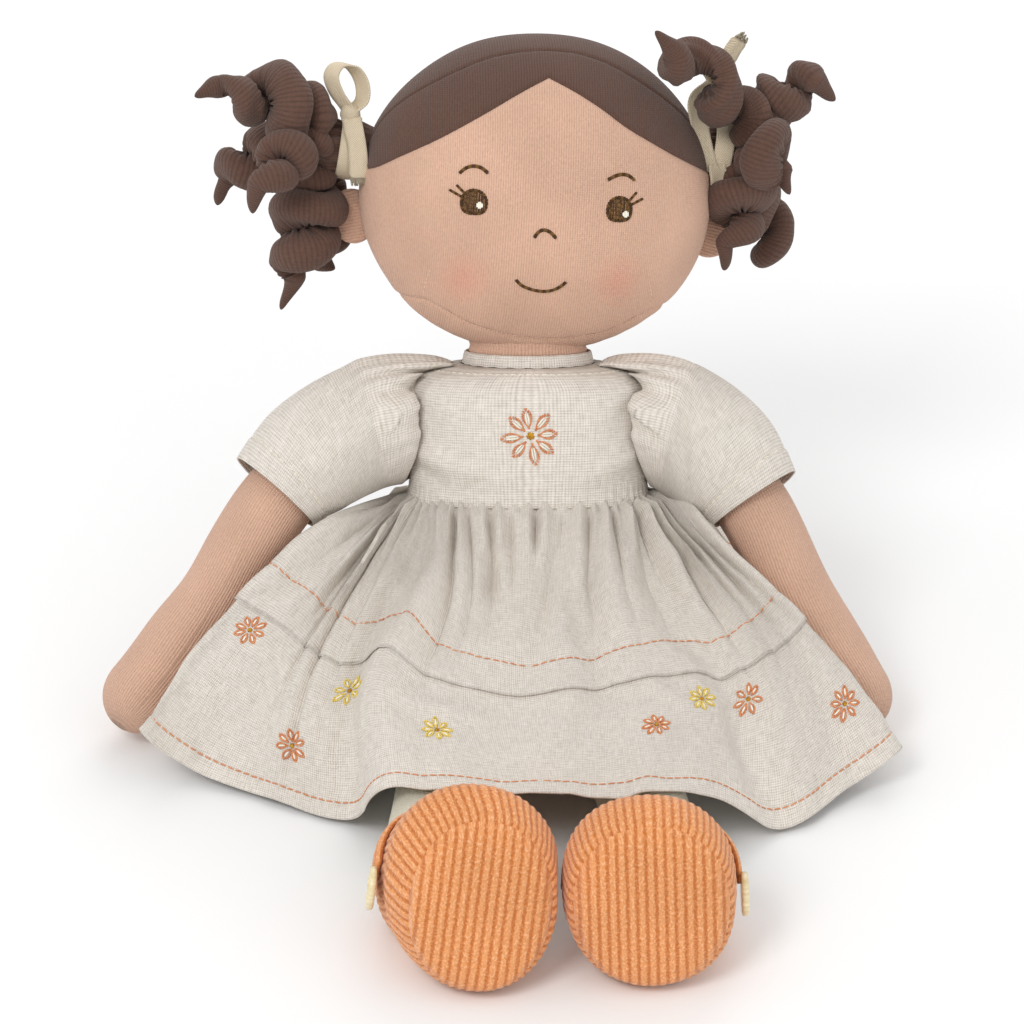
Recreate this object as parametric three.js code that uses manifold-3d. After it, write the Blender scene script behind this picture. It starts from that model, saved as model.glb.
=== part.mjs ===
// Seated rag doll: jersey skins over stuffing, bunches of stuffed curls, a puff-sleeved
// linen dress with a gathered skirt, rib-knit legs and corduroy bar shoes.
// Millimetres, +Z up. The origin is the middle of the flat of the seat. The doll faces -Y,
// and its own right side is -X. Curved pieces are lofted through rings.

import * as THREE from 'three';
import { mergeVertices } from 'three/addons/utils/BufferGeometryUtils.js';
import Module from 'manifold-3d';

const wasm = await Module();
wasm.setup();

// Driving dimensions

const seamGap = 0.3;            // clearance between two pieces that are sewn or lie together
const skinWall = 1.0;           // jersey and its backing
const clothWall = 0.8;          // linen with its turnings
const overrun = 5;              // how far a cutting shape runs past what it cuts
const floorCut = 0.5;           // depth of the flat where a stuffed form rests
const weld = 1e-4;              // points closer than this are one point

const recline = THREE.MathUtils.degToRad(-20);

const torsoHeight = 106;
const torsoHalfWidth = 35;
const torsoHalfDepth = 25.5;
const seatHalfWidth = 24;       // of the flat under the seat
const seatHalfDepth = 17;

const neckHalfWidth = 20;
const neckHalfDepth = 16;
const neckLength = 22;
const neckRise = 6;             // the neck's bend above the top of the torso

const headHalfWidth = 60;
const headHalfDepth = 43;
const headHalfHeight = 54;
const headRise = 53.5;          // head centre above the neck's bend
const headTurn = THREE.MathUtils.degToRad(5);
const headRoll = THREE.MathUtils.degToRad(2.7);

const earLength = 17;
const earWidth = 12;
const earThickness = 6;
const earSplay = THREE.MathUtils.degToRad(14);

const rightBunchHeight = 12;    // bunch root above the head's centre
const leftBunchHeight = 15;
const rootLength = 11;
const rootRadius = 10.5;
const curlRadius = 5.3;         // stuffed tube
const curlCoil = 4.6;           // how far the tube winds off its own middle line
const bunchReach = 50;          // a curl's usual reach from its root
const tapeWidth = 7;
const tapeThickness = 1.2;

const armRadius = 12.8;
const shoulderDrop = 14;        // from the top of the torso
const rightArmReach = 97;       // sideways from shoulder to the middle of the hand
const leftArmReach = 77;
const armReachY = 76;
const armDrop = 73.5;

const bodiceHalfWidth = 41;
const bodiceHalfDepth = 29.5;
const waistRise = 63;
const collarRise = 1.6;         // the bodice's top above the torso's
const neckbandHeight = 4.4;
const neckbandEase = 1.0;       // between neck and neckband
const armholeHalfHeight = 19;
const armholeHalfDepth = 15.5;
const armholeDrop = 20;         // its middle under the top of the torso
const sleeveHalfPuff = 21.5;
const sleeveHalfHem = 16.6;
const sleeveLift = 8;           // the puff stands up from the shoulder

const skirtLength = 135;
const foldDepth = 2.2;

const legRadius = 15;
const legLength = 124;
const hipRise = 15.2;           // middle of a leg above what the doll sits on
const rightLeg = { label: 'right', side: -1, hipX: -23, yaw: -4, shoeX: -22, lean: 22, roll: 8 };
const leftLeg = { label: 'left', side: 1, hipX: 24, yaw: 8, shoeX: 37.4, lean: 14, roll: -2 };

const shoeHalfWidth = 26.8;
const shoeHalfHeight = 30.3;
const shoeDepth = 38;
const soleBulge = 5;
const shoeMidline = 9.1;        // the plane where the two shoes press together
const footGap = 0.5;            // between a shoe and the stuffing in it
const strapWidth = 8;
const strapThickness = 1.6;
const shoeButtonRadius = 6.5;
const shoeButtonThickness = 2.2;

const backButtonRadius = 5;
const backButtonThickness = 2.2;

// Colours

const paint = {
  skin: new THREE.MeshStandardMaterial({ color: 0xd9a98c, roughness: 0.9, metalness: 0 }),
  hair: new THREE.MeshStandardMaterial({ color: 0x5c4038, roughness: 0.9, metalness: 0 }),
  stuffing: new THREE.MeshStandardMaterial({ color: 0xf2f0ea, roughness: 1, metalness: 0 }),
  linen: new THREE.MeshStandardMaterial({ color: 0xe9e3d6, roughness: 0.95, metalness: 0 }),
  tape: new THREE.MeshStandardMaterial({ color: 0xe8dcb8, roughness: 0.95, metalness: 0 }),
  tights: new THREE.MeshStandardMaterial({ color: 0xd3cfb6, roughness: 0.95, metalness: 0 }),
  corduroy: new THREE.MeshStandardMaterial({ color: 0xdd9058, roughness: 0.95, metalness: 0 }),
  button: new THREE.MeshStandardMaterial({ color: 0xe9ddb4, roughness: 0.4, metalness: 0 }),
};

// Lofted forms

const xAxis = new THREE.Vector3(1, 0, 0);
const yAxis = new THREE.Vector3(0, 1, 0);
const zAxis = new THREE.Vector3(0, 0, 1);
const noTurn = new THREE.Quaternion();

function tilted(angle) {
  return new THREE.Quaternion().setFromAxisAngle(xAxis, angle);
}

// One ring of a loft: centre, half sizes, squareness of its outline and which way it faces.
function ring(x, y, z, halfWidth, halfDepth, power = 2, turn = noTurn) {
  return { centre: new THREE.Vector3(x, y, z), halfWidth, halfDepth, power, turn };
}

function squared(value, power) {
  return Math.sign(value) * Math.abs(value) ** (2 / power);
}

function ringPoints(one, sides) {
  const points = [];
  for (let i = 0; i < sides; i += 1) {
    const angle = (2 * Math.PI * i) / sides;
    const point = new THREE.Vector3(
      one.halfWidth * squared(Math.cos(angle), one.power),
      one.halfDepth * squared(Math.sin(angle), one.power),
      0,
    );
    points.push(point.applyQuaternion(one.turn).add(one.centre));
  }
  return points;
}

// The same rings a set distance further in (or out, below zero). A closed end moves in too.
function inset(rings, distance, closedStart = true, closedEnd = true) {
  const last = rings.length - 1;
  return rings.map((one, i) => {
    const along = zAxis.clone().applyQuaternion(one.turn);
    const startShare = closedStart ? 1 - i / last : 0;
    const endShare = closedEnd ? i / last : 0;
    return {
      ...one,
      centre: one.centre.clone().addScaledVector(along, distance * (startShare ** 2 - endShare ** 2)),
      halfWidth: one.halfWidth - distance,
      halfDepth: one.halfDepth - distance,
    };
  });
}

function geometryFrom(points, faces) {
  const geometry = new THREE.BufferGeometry();
  const flat = points.flatMap((point) => [point.x, point.y, point.z]);
  geometry.setAttribute('position', new THREE.Float32BufferAttribute(flat, 3));
  geometry.setIndex(faces);
  return geometry;
}

// Walls between rows of points that close on themselves, facing out of the row's turn.
function wallFaces(faces, first, rows, sides, inward = false) {
  for (let row = 0; row < rows - 1; row += 1) {
    for (let i = 0; i < sides; i += 1) {
      const a = first + row * sides + i;
      const b = first + row * sides + ((i + 1) % sides);
      const [c, d] = [b + sides, a + sides];
      if (inward) faces.push(a, c, b, a, d, c);
      else faces.push(a, b, c, a, c, d);
    }
  }
}

function capFaces(faces, first, sides, up) {
  for (let i = 1; i < sides - 1; i += 1) {
    if (up) faces.push(first, first + i, first + i + 1);
    else faces.push(first, first + i + 1, first + i);
  }
}

function rimFaces(faces, outer, inner, sides, up) {
  for (let i = 0; i < sides; i += 1) {
    const j = (i + 1) % sides;
    const [a, b, c, d] = [outer + i, outer + j, inner + j, inner + i];
    if (up) faces.push(a, b, c, a, c, d);
    else faces.push(a, c, b, a, d, c);
  }
}

// A closed solid through the rings.
function solidForm(rings, sides) {
  const faces = [];
  wallFaces(faces, 0, rings.length, sides);
  capFaces(faces, 0, sides, false);
  capFaces(faces, (rings.length - 1) * sides, sides, true);
  return geometryFrom(rings.flatMap((one) => ringPoints(one, sides)), faces);
}

// A thin-walled skin through the rings, open at one end or at both.
function skinForm(rings, wall, sides, openStart, openEnd) {
  const inner = inset(rings, wall, !openStart, !openEnd);
  const points = [...rings, ...inner].flatMap((one) => ringPoints(one, sides));
  const count = rings.length * sides;
  const end = (rings.length - 1) * sides;
  const faces = [];
  wallFaces(faces, 0, rings.length, sides);
  wallFaces(faces, count, rings.length, sides, true);
  if (openStart) rimFaces(faces, 0, count, sides, false);
  else {
    capFaces(faces, 0, sides, false);
    capFaces(faces, count, sides, true);
  }
  if (openEnd) rimFaces(faces, end, count + end, sides, true);
  else {
    capFaces(faces, end, sides, true);
    capFaces(faces, count + end, sides, false);
  }
  return geometryFrom(points, faces);
}

// Joining and cutting

function toSolid(geometry, matrix) {
  const bare = geometry.clone();
  bare.deleteAttribute('normal');
  bare.deleteAttribute('uv');
  if (matrix) bare.applyMatrix4(matrix);
  const merged = mergeVertices(bare, weld);
  const mesh = new wasm.Mesh({
    numProp: 3,
    vertProperties: new Float32Array(merged.attributes.position.array),
    triVerts: new Uint32Array(merged.index.array),
  });
  mesh.merge();
  return new wasm.Manifold(mesh);
}

function fromSolid(solid) {
  const mesh = solid.getMesh();
  const geometry = new THREE.BufferGeometry();
  const points = new Float32Array(mesh.vertProperties);
  geometry.setAttribute('position', new THREE.Float32BufferAttribute(points, mesh.numProp));
  geometry.setIndex(Array.from(mesh.triVerts));
  return geometry;
}

// From the cutter's own group into the group of the piece that is cut.
function across(fromGroup, toGroup) {
  fromGroup.updateWorldMatrix(true, false);
  toGroup.updateWorldMatrix(true, false);
  return toGroup.matrixWorld.clone().invert().multiply(fromGroup.matrixWorld);
}

// The piece less each cutter, given as [geometry, the cutter's group].
function carved(geometry, group, cutters) {
  let solid = toSolid(geometry);
  for (const [cutter, home] of cutters) {
    solid = solid.subtract(toSolid(cutter, across(home, group)));
  }
  return fromSolid(solid);
}

function slab(width, depth, height, x, y, z) {
  return new THREE.BoxGeometry(width, depth, height).translate(x, y, z);
}

// Everything under a level, wider than the doll.
function slabUnder(level) {
  const span = 2 * skirtLength;
  return slab(2 * span, 2 * span, span, 0, 0, level - span / 2);
}

// Heights up the torso's line

const neckBase = torsoHeight + neckRise;
const bodiceTop = torsoHeight + collarRise;
const shoulderRise = torsoHeight - shoulderDrop;
const armholeRise = torsoHeight - armholeDrop;

// Groups

const doll = new THREE.Group();
const torso = new THREE.Group();
torso.rotation.x = recline;
doll.add(torso);

const head = new THREE.Group();
head.position.z = neckBase;
head.rotation.set(0, headRoll, headTurn, 'ZYX');
torso.add(head);

function add(group, name, geometry, material) {
  const mesh = new THREE.Mesh(geometry, material);
  mesh.name = name;
  group.add(mesh);
  return mesh;
}

// Torso: the seat lies level, and the rings turn to the recline by the hips.

const torsoSides = 12;
const torsoShares = [
  // rise, half width, half depth, squareness, how level the ring lies
  [0.015, 0.857, 0.824, 2.6, 1],
  [0.08, 0.95, 0.94, 2.5, 0.5],
  [0.16, 1.0, 1.0, 2.4, 0],
  [0.4, 1.03, 1.02, 2.5, 0],
  [0.84, 0.98, 0.9, 2.5, 0],
  [0.93, 0.93, 0.8, 2.4, 0],
  [0.98, 0.68, 0.64, 2.2, 0],
];
const torsoMouthShare = 0.8;    // the open top against the neck

function torsoRings() {
  const seat = ring(0, 0, -floorCut, seatHalfWidth, seatHalfDepth, torsoShares[0][3], tilted(-recline));
  const top = ring(
    0, 0, torsoHeight, neckHalfWidth * torsoMouthShare, neckHalfDepth * torsoMouthShare,
  );
  const between = torsoShares.map(([rise, width, depth, power, level]) => ring(
    0, 0, rise * torsoHeight, torsoHalfWidth * width, torsoHalfDepth * depth, power,
    tilted(-recline * level),
  ));
  return [seat, ...between, top];
}

const torsoForm = torsoRings();
const torsoOuter = (distance) => solidForm(inset(torsoForm, -distance), torsoSides);
const floorCutter = [slabUnder(0), doll];

add(torso, 'torso_skin', carved(
  skinForm(torsoForm, skinWall, torsoSides, false, true), torso, [floorCutter],
), paint.skin);

const torsoFillingRings = inset(torsoForm, skinWall + seamGap);
add(torso, 'torso_filling', carved(
  solidForm(torsoFillingRings, torsoSides), torso, [[slabUnder(skinWall + seamGap), doll]],
), paint.stuffing);

// Head: four jersey panels over the stuffing, with the face turned a little to its left.

const headAcross = 18;
const headUp = 10;
const jawShare = 0.04;          // how much fuller the jaw is than an egg

function headForm(distance) {
  const ball = new THREE.SphereGeometry(1, headAcross, headUp);
  ball.rotateX(Math.PI / 2);
  ball.scale(headHalfWidth + distance, headHalfDepth + distance, headHalfHeight + distance);
  const places = ball.attributes.position;
  for (let i = 0; i < places.count; i += 1) {
    const low = Math.max(0, -places.getZ(i) / headHalfHeight);
    places.setX(i, places.getX(i) * (1 + jawShare * low * low));
  }
  return ball.translate(0, 0, headRise);
}

// An outline drawn as seen from the front (x, z) or from the side (y, z), run right through.
function frontPrism(points) {
  const depth = 2 * headHalfDepth + 2 * overrun;
  const outline = new THREE.Shape(points.map(([x, z]) => new THREE.Vector2(x, z)));
  return new THREE.ExtrudeGeometry(outline, { depth, bevelEnabled: false })
    .rotateX(Math.PI / 2).translate(0, depth / 2, 0);
}

function sidePrism(points) {
  const width = 2 * headHalfWidth + 2 * overrun;
  const outline = new THREE.Shape(points.map(([y, z]) => new THREE.Vector2(y, z)));
  const turn = new THREE.Matrix4().makeBasis(yAxis, zAxis, xAxis);
  return new THREE.ExtrudeGeometry(outline, { depth: width, bevelEnabled: false })
    .translate(0, 0, -width / 2).applyMatrix4(turn);
}

// Seams of the head as shares of its half width, half depth and half height from its centre.
const farShare = 1.3;           // clear of the head on every side
const crownShares = [[-0.42, 1.2], [-0.42, 0.8], [-0.1, 0.35], [0.06, 0.1], [0.06, -1.2]];
const hairlineShares = [
  [-1.1, 0.09], [-0.97, 0.12], [-0.7, 0.27], [-0.48, 0.41], [-0.27, 0.57], [0, 0.74],
  [0.22, 0.6], [0.45, 0.44], [0.68, 0.3], [0.9, 0.18], [1.1, 0.12],
];
const chinShares = [[-1.1, -0.62], [-0.64, -0.66], [-0.37, -0.81], [0, -0.9], [0.37, -0.84],
  [0.66, -0.68], [1.1, -0.62]];

function headPanels() {
  const [w, d, h] = [headHalfWidth, headHalfDepth, headHalfHeight];
  const level = (shares, shift) => shares.map(([x, z]) => [x * w, headRise + z * h + shift]);
  const crown = (shift) => crownShares.map(([y, z]) => [y * d + shift, headRise + z * h]);
  const top = headRise + farShare * h;
  const bottom = headRise - farShare * h;
  const gap = seamGap / 2;
  const above = [[farShare * w, top], [-farShare * w, top]];
  const below = [[farShare * w, bottom], [-farShare * w, bottom]];
  const shell = toSolid(headForm(0)).subtract(toSolid(headForm(-skinWall)));
  const front = sidePrism([...crown(-gap), [-farShare * d, bottom], [-farShare * d, top]]);
  const back = sidePrism([...crown(gap), [farShare * d, bottom], [farShare * d, top]]);
  const frontShell = shell.intersect(toSolid(front));
  const hair = frontPrism([...level(hairlineShares, gap), ...above]);
  const face = frontPrism([...level(hairlineShares, -gap), ...level(chinShares, gap).reverse()]);
  const chin = frontPrism([...level(chinShares, -gap), ...below]);
  return {
    hair_back_panel: [shell.intersect(toSolid(back)), paint.hair],
    hair_front_panel: [frontShell.intersect(toSolid(hair)), paint.hair],
    face_panel: [frontShell.intersect(toSolid(face)), paint.skin],
    chin_panel: [frontShell.intersect(toSolid(chin)), paint.skin],
  };
}

for (const [name, [solid, material]] of Object.entries(headPanels())) {
  add(head, name, fromSolid(solid), material);
}
add(head, 'head_filling', headForm(-skinWall - seamGap), paint.stuffing);

const headCutter = [headForm(seamGap), head];

// Ears: small padded flaps caught in the side seams.

const earPlaceShare = { out: 0.12, back: 0.12, down: 0.2 };

function earForm(side) {
  return new THREE.SphereGeometry(1, 8, 6)
    .scale(earWidth / 2, earThickness / 2, earLength / 2)
    .rotateY(side * earSplay)
    .translate(
      side * (headHalfWidth + earPlaceShare.out * earWidth),
      earPlaceShare.back * headHalfDepth,
      headRise - earPlaceShare.down * headHalfHeight,
    );
}
add(head, 'right_ear', carved(earForm(-1), head, [headCutter]), paint.skin);
add(head, 'left_ear', carved(earForm(1), head, [headCutter]), paint.skin);

// Neck: waisted a little, and closed into the head and the torso.

const neckSides = 8;
const neckShares = [[-0.5, 1.05], [0, 1], [0.5, 1.05]];
const neckForm = neckShares.map(([along, share]) => ring(
  0, 0, neckBase + along * neckLength, neckHalfWidth * share, neckHalfDepth * share,
));
add(torso, 'neck', carved(
  solidForm(neckForm, neckSides), torso, [headCutter, [torsoOuter(seamGap), torso]],
), paint.skin);

// Hair: each bunch has a gathered root, a tape tied round it with a bow, and stuffed curls.

const curlSides = 5;
const curlSteps = 8;            // to a turn
const curlSwellShare = 0.3;     // of its length, in which a curl swells from its root
const curlTipShare = 0.25;      // of its length, in which it narrows to a point
const curlEndShare = 0.94;      // of its section, that the point loses

// A stuffed curl winds round its own middle line as a corkscrew and ends in a cone.
function curlRings(start, bend, end, turns, phase) {
  const line = new THREE.QuadraticBezierCurve3(start, bend, end);
  const steps = Math.round(curlSteps * turns) + 1;
  const rings = [];
  for (let i = 0; i <= steps; i += 1) {
    const t = i / steps;
    const tip = Math.max(0, (t - 1 + curlTipShare) / curlTipShare);
    const swell = Math.min(1, t / curlSwellShare);
    const swing = curlCoil * swell ** 1.5 * (1 - tip);
    const angle = phase + 2 * Math.PI * turns * Math.min(1, t / (1 - curlTipShare / 2));
    const sideways = new THREE.Vector3().crossVectors(line.getTangent(t), yAxis).normalize();
    const upward = new THREE.Vector3().crossVectors(line.getTangent(t), sideways);
    rings.push({
      centre: line.getPoint(t)
        .addScaledVector(sideways, swing * Math.cos(angle))
        .addScaledVector(upward, swing * Math.sin(angle)),
      radius: curlRadius * (1 + swell) / 2 * Math.sqrt(1 - curlEndShare * tip),
    });
  }
  return rings;
}

function tubeForm(rings, sides) {
  const last = rings.length - 1;
  const alongs = rings.map((_, i) => rings[Math.min(last, i + 1)].centre.clone()
    .sub(rings[Math.max(0, i - 1)].centre).normalize());
  let side = new THREE.Vector3().crossVectors(alongs[0], yAxis).normalize();
  const points = rings.flatMap(({ centre, radius }, i) => {
    side = side.clone().addScaledVector(alongs[i], -side.dot(alongs[i])).normalize();
    const lift = new THREE.Vector3().crossVectors(alongs[i], side);
    return Array.from({ length: sides }, (_, j) => {
      const angle = (2 * Math.PI * j) / sides;
      return centre.clone()
        .addScaledVector(side, radius * Math.cos(angle))
        .addScaledVector(lift, radius * Math.sin(angle));
    });
  });
  const faces = [];
  wallFaces(faces, 0, rings.length, sides);
  capFaces(faces, 0, sides, false);
  capFaces(faces, last * sides, sides, true);
  return geometryFrom(points, faces);
}

// The least gap between one turn of a curl and the next.
function leastGap(rings) {
  let least = Infinity;
  rings.forEach((one, i) => rings.slice(i + curlSteps).forEach((other) => {
    least = Math.min(least, one.centre.distanceTo(other.centre) - one.radius - other.radius);
  }));
  return least;
}

// Curls as [start y, start z on the root as shares of its radius, bend x y z, end x y z as
// shares of the reach, turns, phase]. x runs outward from the head.
const rightCurlShares = [
  [-0.25, 0.55, 0.58, -0.3, 0.42, 1.02, -0.36, 0.3, 2.2, 0.0],
  [0.5, 0.15, 0.73, 0.24, 0.03, 0.84, 0.43, -0.46, 2.1, 1.2],
  [-0.62, -0.05, 0.56, -0.6, 0.12, 0.6, -0.52, -0.42, 1.6, 2.0],
  [-0.2, -0.6, 0.3, -0.14, -0.52, 0.4, 0.08, -1.12, 2.3, 0.4],
  [0.5, -0.35, 0.24, 0.5, -0.66, 0.0, 0.46, -0.84, 1.8, 2.4],
];
const leftCurlShares = [
  [-0.35, 0.6, -0.22, -0.64, 0.58, -0.64, -0.8, 0.84, 1.8, 0.6],
  [0.35, 0.5, 0.26, -0.24, 0.62, 0.7, -0.16, 0.4, 2.2, 2.2],
  [-0.62, 0.0, 0.23, -0.47, 0.2, 0.42, -0.38, -0.22, 1.4, 0.0],
  [-0.2, -0.6, 0.07, -0.3, -0.24, 0.04, -0.07, -0.76, 1.8, 1.0],
  [0.5, -0.45, 0.27, 0.3, -0.56, 0.5, 0.4, -0.72, 1.8, 2.0],
];

// The root's rings, as how far along and the radius, and the places of the tape and its bow.
const rootSides = 8;
const rootShares = [[-0.45, 0.7], [0.1, 0.88], [0.45, 0.74], [0.75, 0.86], [1, 0.8]];
const rootBackShare = 0.1;      // of the head's half depth
const tapeStartShare = 0.2;     // of the root's length
const tapeFitShare = 0.9;       // of the root's radius
const bowSizeShares = [0.5, 0.4, 0.35];
const bowForwardShare = 0.3;
const bowRiseShare = 0.24;
const curlSpreadShare = 0.5;    // of the root's length, from which the curls' reach is counted
const curlGaps = [];

function tapeForm(side, distance) {
  const inner = tapeFitShare * rootRadius + seamGap;
  const start = tapeStartShare * rootLength;
  const [near, far] = [inner - distance, inner + tapeThickness + distance];
  const [low, high] = [start - distance, start + tapeWidth + distance];
  const outline = [[near, low], [far, low], [far, high], [near, high], [near, low]];
  return new THREE.LatheGeometry(outline.map(([x, y]) => new THREE.Vector2(x, y)), 12)
    .rotateZ(-side * Math.PI / 2);
}

function bowForm(side, distance) {
  const [wide, deep, high] = bowSizeShares.map((share) => share * tapeWidth + distance);
  const ground = tapeFitShare * rootRadius + seamGap + tapeThickness;
  return new THREE.SphereGeometry(1, 8, 6).scale(wide, deep, high).translate(
    side * (tapeStartShare * rootLength + tapeWidth / 2),
    -bowForwardShare * rootRadius,
    ground + bowRiseShare * tapeWidth,
  );
}

function addBunch(label, side, rise, curls) {
  const bunch = new THREE.Group();
  const out = side * (headHalfWidth - 2 * seamGap);
  bunch.position.set(out, rootBackShare * headHalfDepth, headRise + rise);
  head.add(bunch);
  const facing = new THREE.Quaternion().setFromAxisAngle(yAxis, side * Math.PI / 2);
  const rootRings = rootShares.map(([along, share]) => ring(
    side * along * rootLength, 0, 0, rootRadius * share, rootRadius * share, 2, facing,
  ));
  add(bunch, `${label}_bunch_root`, carved(
    solidForm(rootRings, rootSides), bunch, [headCutter],
  ), paint.hair);

  const earCutter = [earForm(side), head];
  const tapeCutter = [tapeForm(side, seamGap), bunch];
  add(bunch, `${label}_hair_tape`, carved(
    tapeForm(side, 0), bunch, [headCutter, earCutter],
  ), paint.tape);
  add(bunch, `${label}_tape_bow`, carved(
    bowForm(side, 0), bunch, [tapeCutter, headCutter],
  ), paint.tape);

  const rootCutter = [solidForm(inset(rootRings, -seamGap), rootSides), bunch];
  const bowCutter = [bowForm(side, seamGap), bunch];
  const cutters = [rootCutter, headCutter, tapeCutter, earCutter, bowCutter];
  const spread = side * curlSpreadShare * rootLength;
  curls.forEach(([startY, startZ, bendX, bendY, bendZ, endX, endY, endZ, turns, phase], i) => {
    const start = new THREE.Vector3(side * (rootLength + seamGap), startY * rootRadius, startZ * rootRadius);
    const bend = new THREE.Vector3(side * bendX, bendY, bendZ).multiplyScalar(bunchReach);
    const end = new THREE.Vector3(side * endX, endY, endZ).multiplyScalar(bunchReach);
    bend.x += spread;
    end.x += spread;
    const rings = curlRings(start, bend, end, turns, phase);
    curlGaps.push(leastGap(rings));
    add(bunch, `${label}_curl_${i + 1}`, carved(tubeForm(rings, curlSides), bunch, cutters), paint.hair);
  });
}
addBunch('right', -1, rightBunchHeight, rightCurlShares);
addBunch('left', 1, leftBunchHeight, leftCurlShares);
console.log(`least gap from turn to turn of a curl: ${Math.min(...curlGaps).toFixed(2)} mm`);

// Arms: each bends gently from the shoulder down to the hand beside the skirt.

const armSides = 9;
const shoulderShare = 0.975;    // of the torso's half width, where an arm is sewn on
const armShares = [
  // how far along, radius
  [0, 0.26], [0.08, 0.42], [0.2, 0.88], [0.38, 1.0], [0.62, 0.95], [0.85, 1.03],
  [0.95, 0.9], [1.0, 0.3],
];
// Places on an arm's middle line, as shares of its reach sideways, its reach forward and its drop.
const armPlaceShares = [
  [0, 0, 0], [0.3, 0.17, 0.1], [0.53, 0.36, 0.3], [0.76, 0.62, 0.69], [1.06, 1.06, 1.06],
];

function armCurve(side) {
  const reach = side < 0 ? rightArmReach : leftArmReach;
  const root = torso.localToWorld(new THREE.Vector3(side * shoulderShare * torsoHalfWidth, 0, shoulderRise));
  return new THREE.CatmullRomCurve3(armPlaceShares.map(([x, y, z]) => new THREE.Vector3(
    root.x + side * x * reach, root.y - y * armReachY, root.z - z * armDrop,
  )));
}

function armRings(side) {
  const curve = armCurve(side);
  return armShares.map(([along, share]) => {
    const centre = curve.getPointAt(along);
    const turn = new THREE.Quaternion().setFromUnitVectors(zAxis, curve.getTangentAt(along));
    return ring(centre.x, centre.y, centre.z, armRadius * share, armRadius * share, 2, turn);
  });
}

function addArm(label, side) {
  const rings = armRings(side);
  add(doll, `${label}_arm_skin`, carved(
    skinForm(rings, skinWall, armSides, true, false), doll, [[torsoOuter(seamGap), torso]],
  ), paint.skin);
  add(doll, `${label}_arm_filling`, solidForm(
    inset(rings, skinWall + seamGap).slice(1), armSides,
  ), paint.stuffing);
}
addArm('right', -1);
addArm('left', 1);

// Dress

const bodiceSides = 12;
const bodiceShares = [
  // rise between waist and top, half width, half depth, squareness
  [0, 0.99, 0.98, 2.7], [0.3, 1.0, 1.0, 2.8], [0.62, 1.0, 0.99, 2.9], [0.82, 0.985, 0.93, 2.9],
  [0.93, 0.9, 0.83, 2.7], [0.985, 0.7, 0.7, 2.3],
];

function bodiceRings() {
  const height = bodiceTop - waistRise;
  const collar = neckbandEase + clothWall * 2;
  return [
    ...bodiceShares.map(([rise, width, depth, power]) => ring(
      0, 0, waistRise + rise * height, bodiceHalfWidth * width, bodiceHalfDepth * depth, power,
    )),
    ring(0, 0, bodiceTop, neckHalfWidth + collar, neckHalfDepth + collar),
  ];
}

const bodiceForm = bodiceRings();
const bodiceOuter = (distance) => solidForm(inset(bodiceForm, -distance), bodiceSides);

const armholeRunShare = 0.6;    // how much of the half width the armhole cuts away
function armholeCutter(side) {
  return new THREE.CylinderGeometry(1, 1, armholeRunShare * bodiceHalfWidth, 12)
    .rotateZ(Math.PI / 2)
    .scale(1, armholeHalfDepth, armholeHalfHeight)
    .translate(side * bodiceHalfWidth, 0, armholeRise);
}

add(torso, 'dress_bodice', carved(
  skinForm(bodiceForm, clothWall, bodiceSides, true, true), torso,
  [[armholeCutter(-1), torso], [armholeCutter(1), torso], [torsoOuter(seamGap), torso]],
), paint.linen);

const neckbandSides = 16;
const neckbandTaperShare = 0.6; // of the cloth's thickness, that the band leans in by
const neckbandRings = [0, 1].map((share) => {
  const ease = neckbandEase + clothWall * (2 - share * neckbandTaperShare);
  return ring(
    0, 0, bodiceTop + seamGap + share * neckbandHeight, neckHalfWidth + ease, neckHalfDepth + ease,
  );
});
add(torso, 'dress_neckband', carved(
  skinForm(neckbandRings, clothWall, neckbandSides, true, true), torso, [headCutter],
), paint.linen);

// Sleeves: set into the armholes, puffed at the shoulder and open at the hem.

const sleeveSides = 12;
const sleeveHemShare = 0.39;    // how far along the arm the hem lies
const sleeveOffShare = { out: 0.1, up: 0.15 };  // the hem against the arm, in arm radii
const sleeveShares = [[0, 0], [0.1, 0.8], [0.4, 1], [0.72, 0.8], [1, 0]];

function sleeveRings(side) {
  const curve = armCurve(side);
  const start = torso.localToWorld(new THREE.Vector3(side * (bodiceHalfWidth + seamGap), 0, armholeRise));
  const hem = curve.getPointAt(sleeveHemShare);
  hem.x += side * sleeveOffShare.out * armRadius;
  hem.z += sleeveOffShare.up * armRadius;
  const puff = start.clone().lerp(hem, 0.5);
  puff.z += 2 * sleeveLift;
  const line = new THREE.QuadraticBezierCurve3(start, puff, hem);
  const outward = new THREE.Quaternion().setFromUnitVectors(zAxis, new THREE.Vector3(side, 0, 0));
  const down = new THREE.Quaternion().setFromUnitVectors(zAxis, curve.getTangentAt(sleeveHemShare));
  return sleeveShares.map(([along, fullness]) => {
    const [height, depth] = [armholeHalfHeight, armholeHalfDepth].map((size) => {
      const straight = THREE.MathUtils.lerp(size + clothWall, sleeveHalfHem, along);
      return THREE.MathUtils.lerp(straight, sleeveHalfPuff, fullness);
    });
    const centre = line.getPoint(along);
    return ring(centre.x, centre.y, centre.z, height, depth, 2, outward.clone().slerp(down, along));
  });
}

for (const [label, side] of [['right', -1], ['left', 1]]) {
  add(doll, `${label}_sleeve`, carved(
    skinForm(sleeveRings(side), clothWall, sleeveSides, true, true), doll,
    [[bodiceOuter(seamGap), torso]],
  ), paint.linen);
}

// Skirt: one gathered piece from the waist seam, over the lap and out to the hem on the floor.

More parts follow.
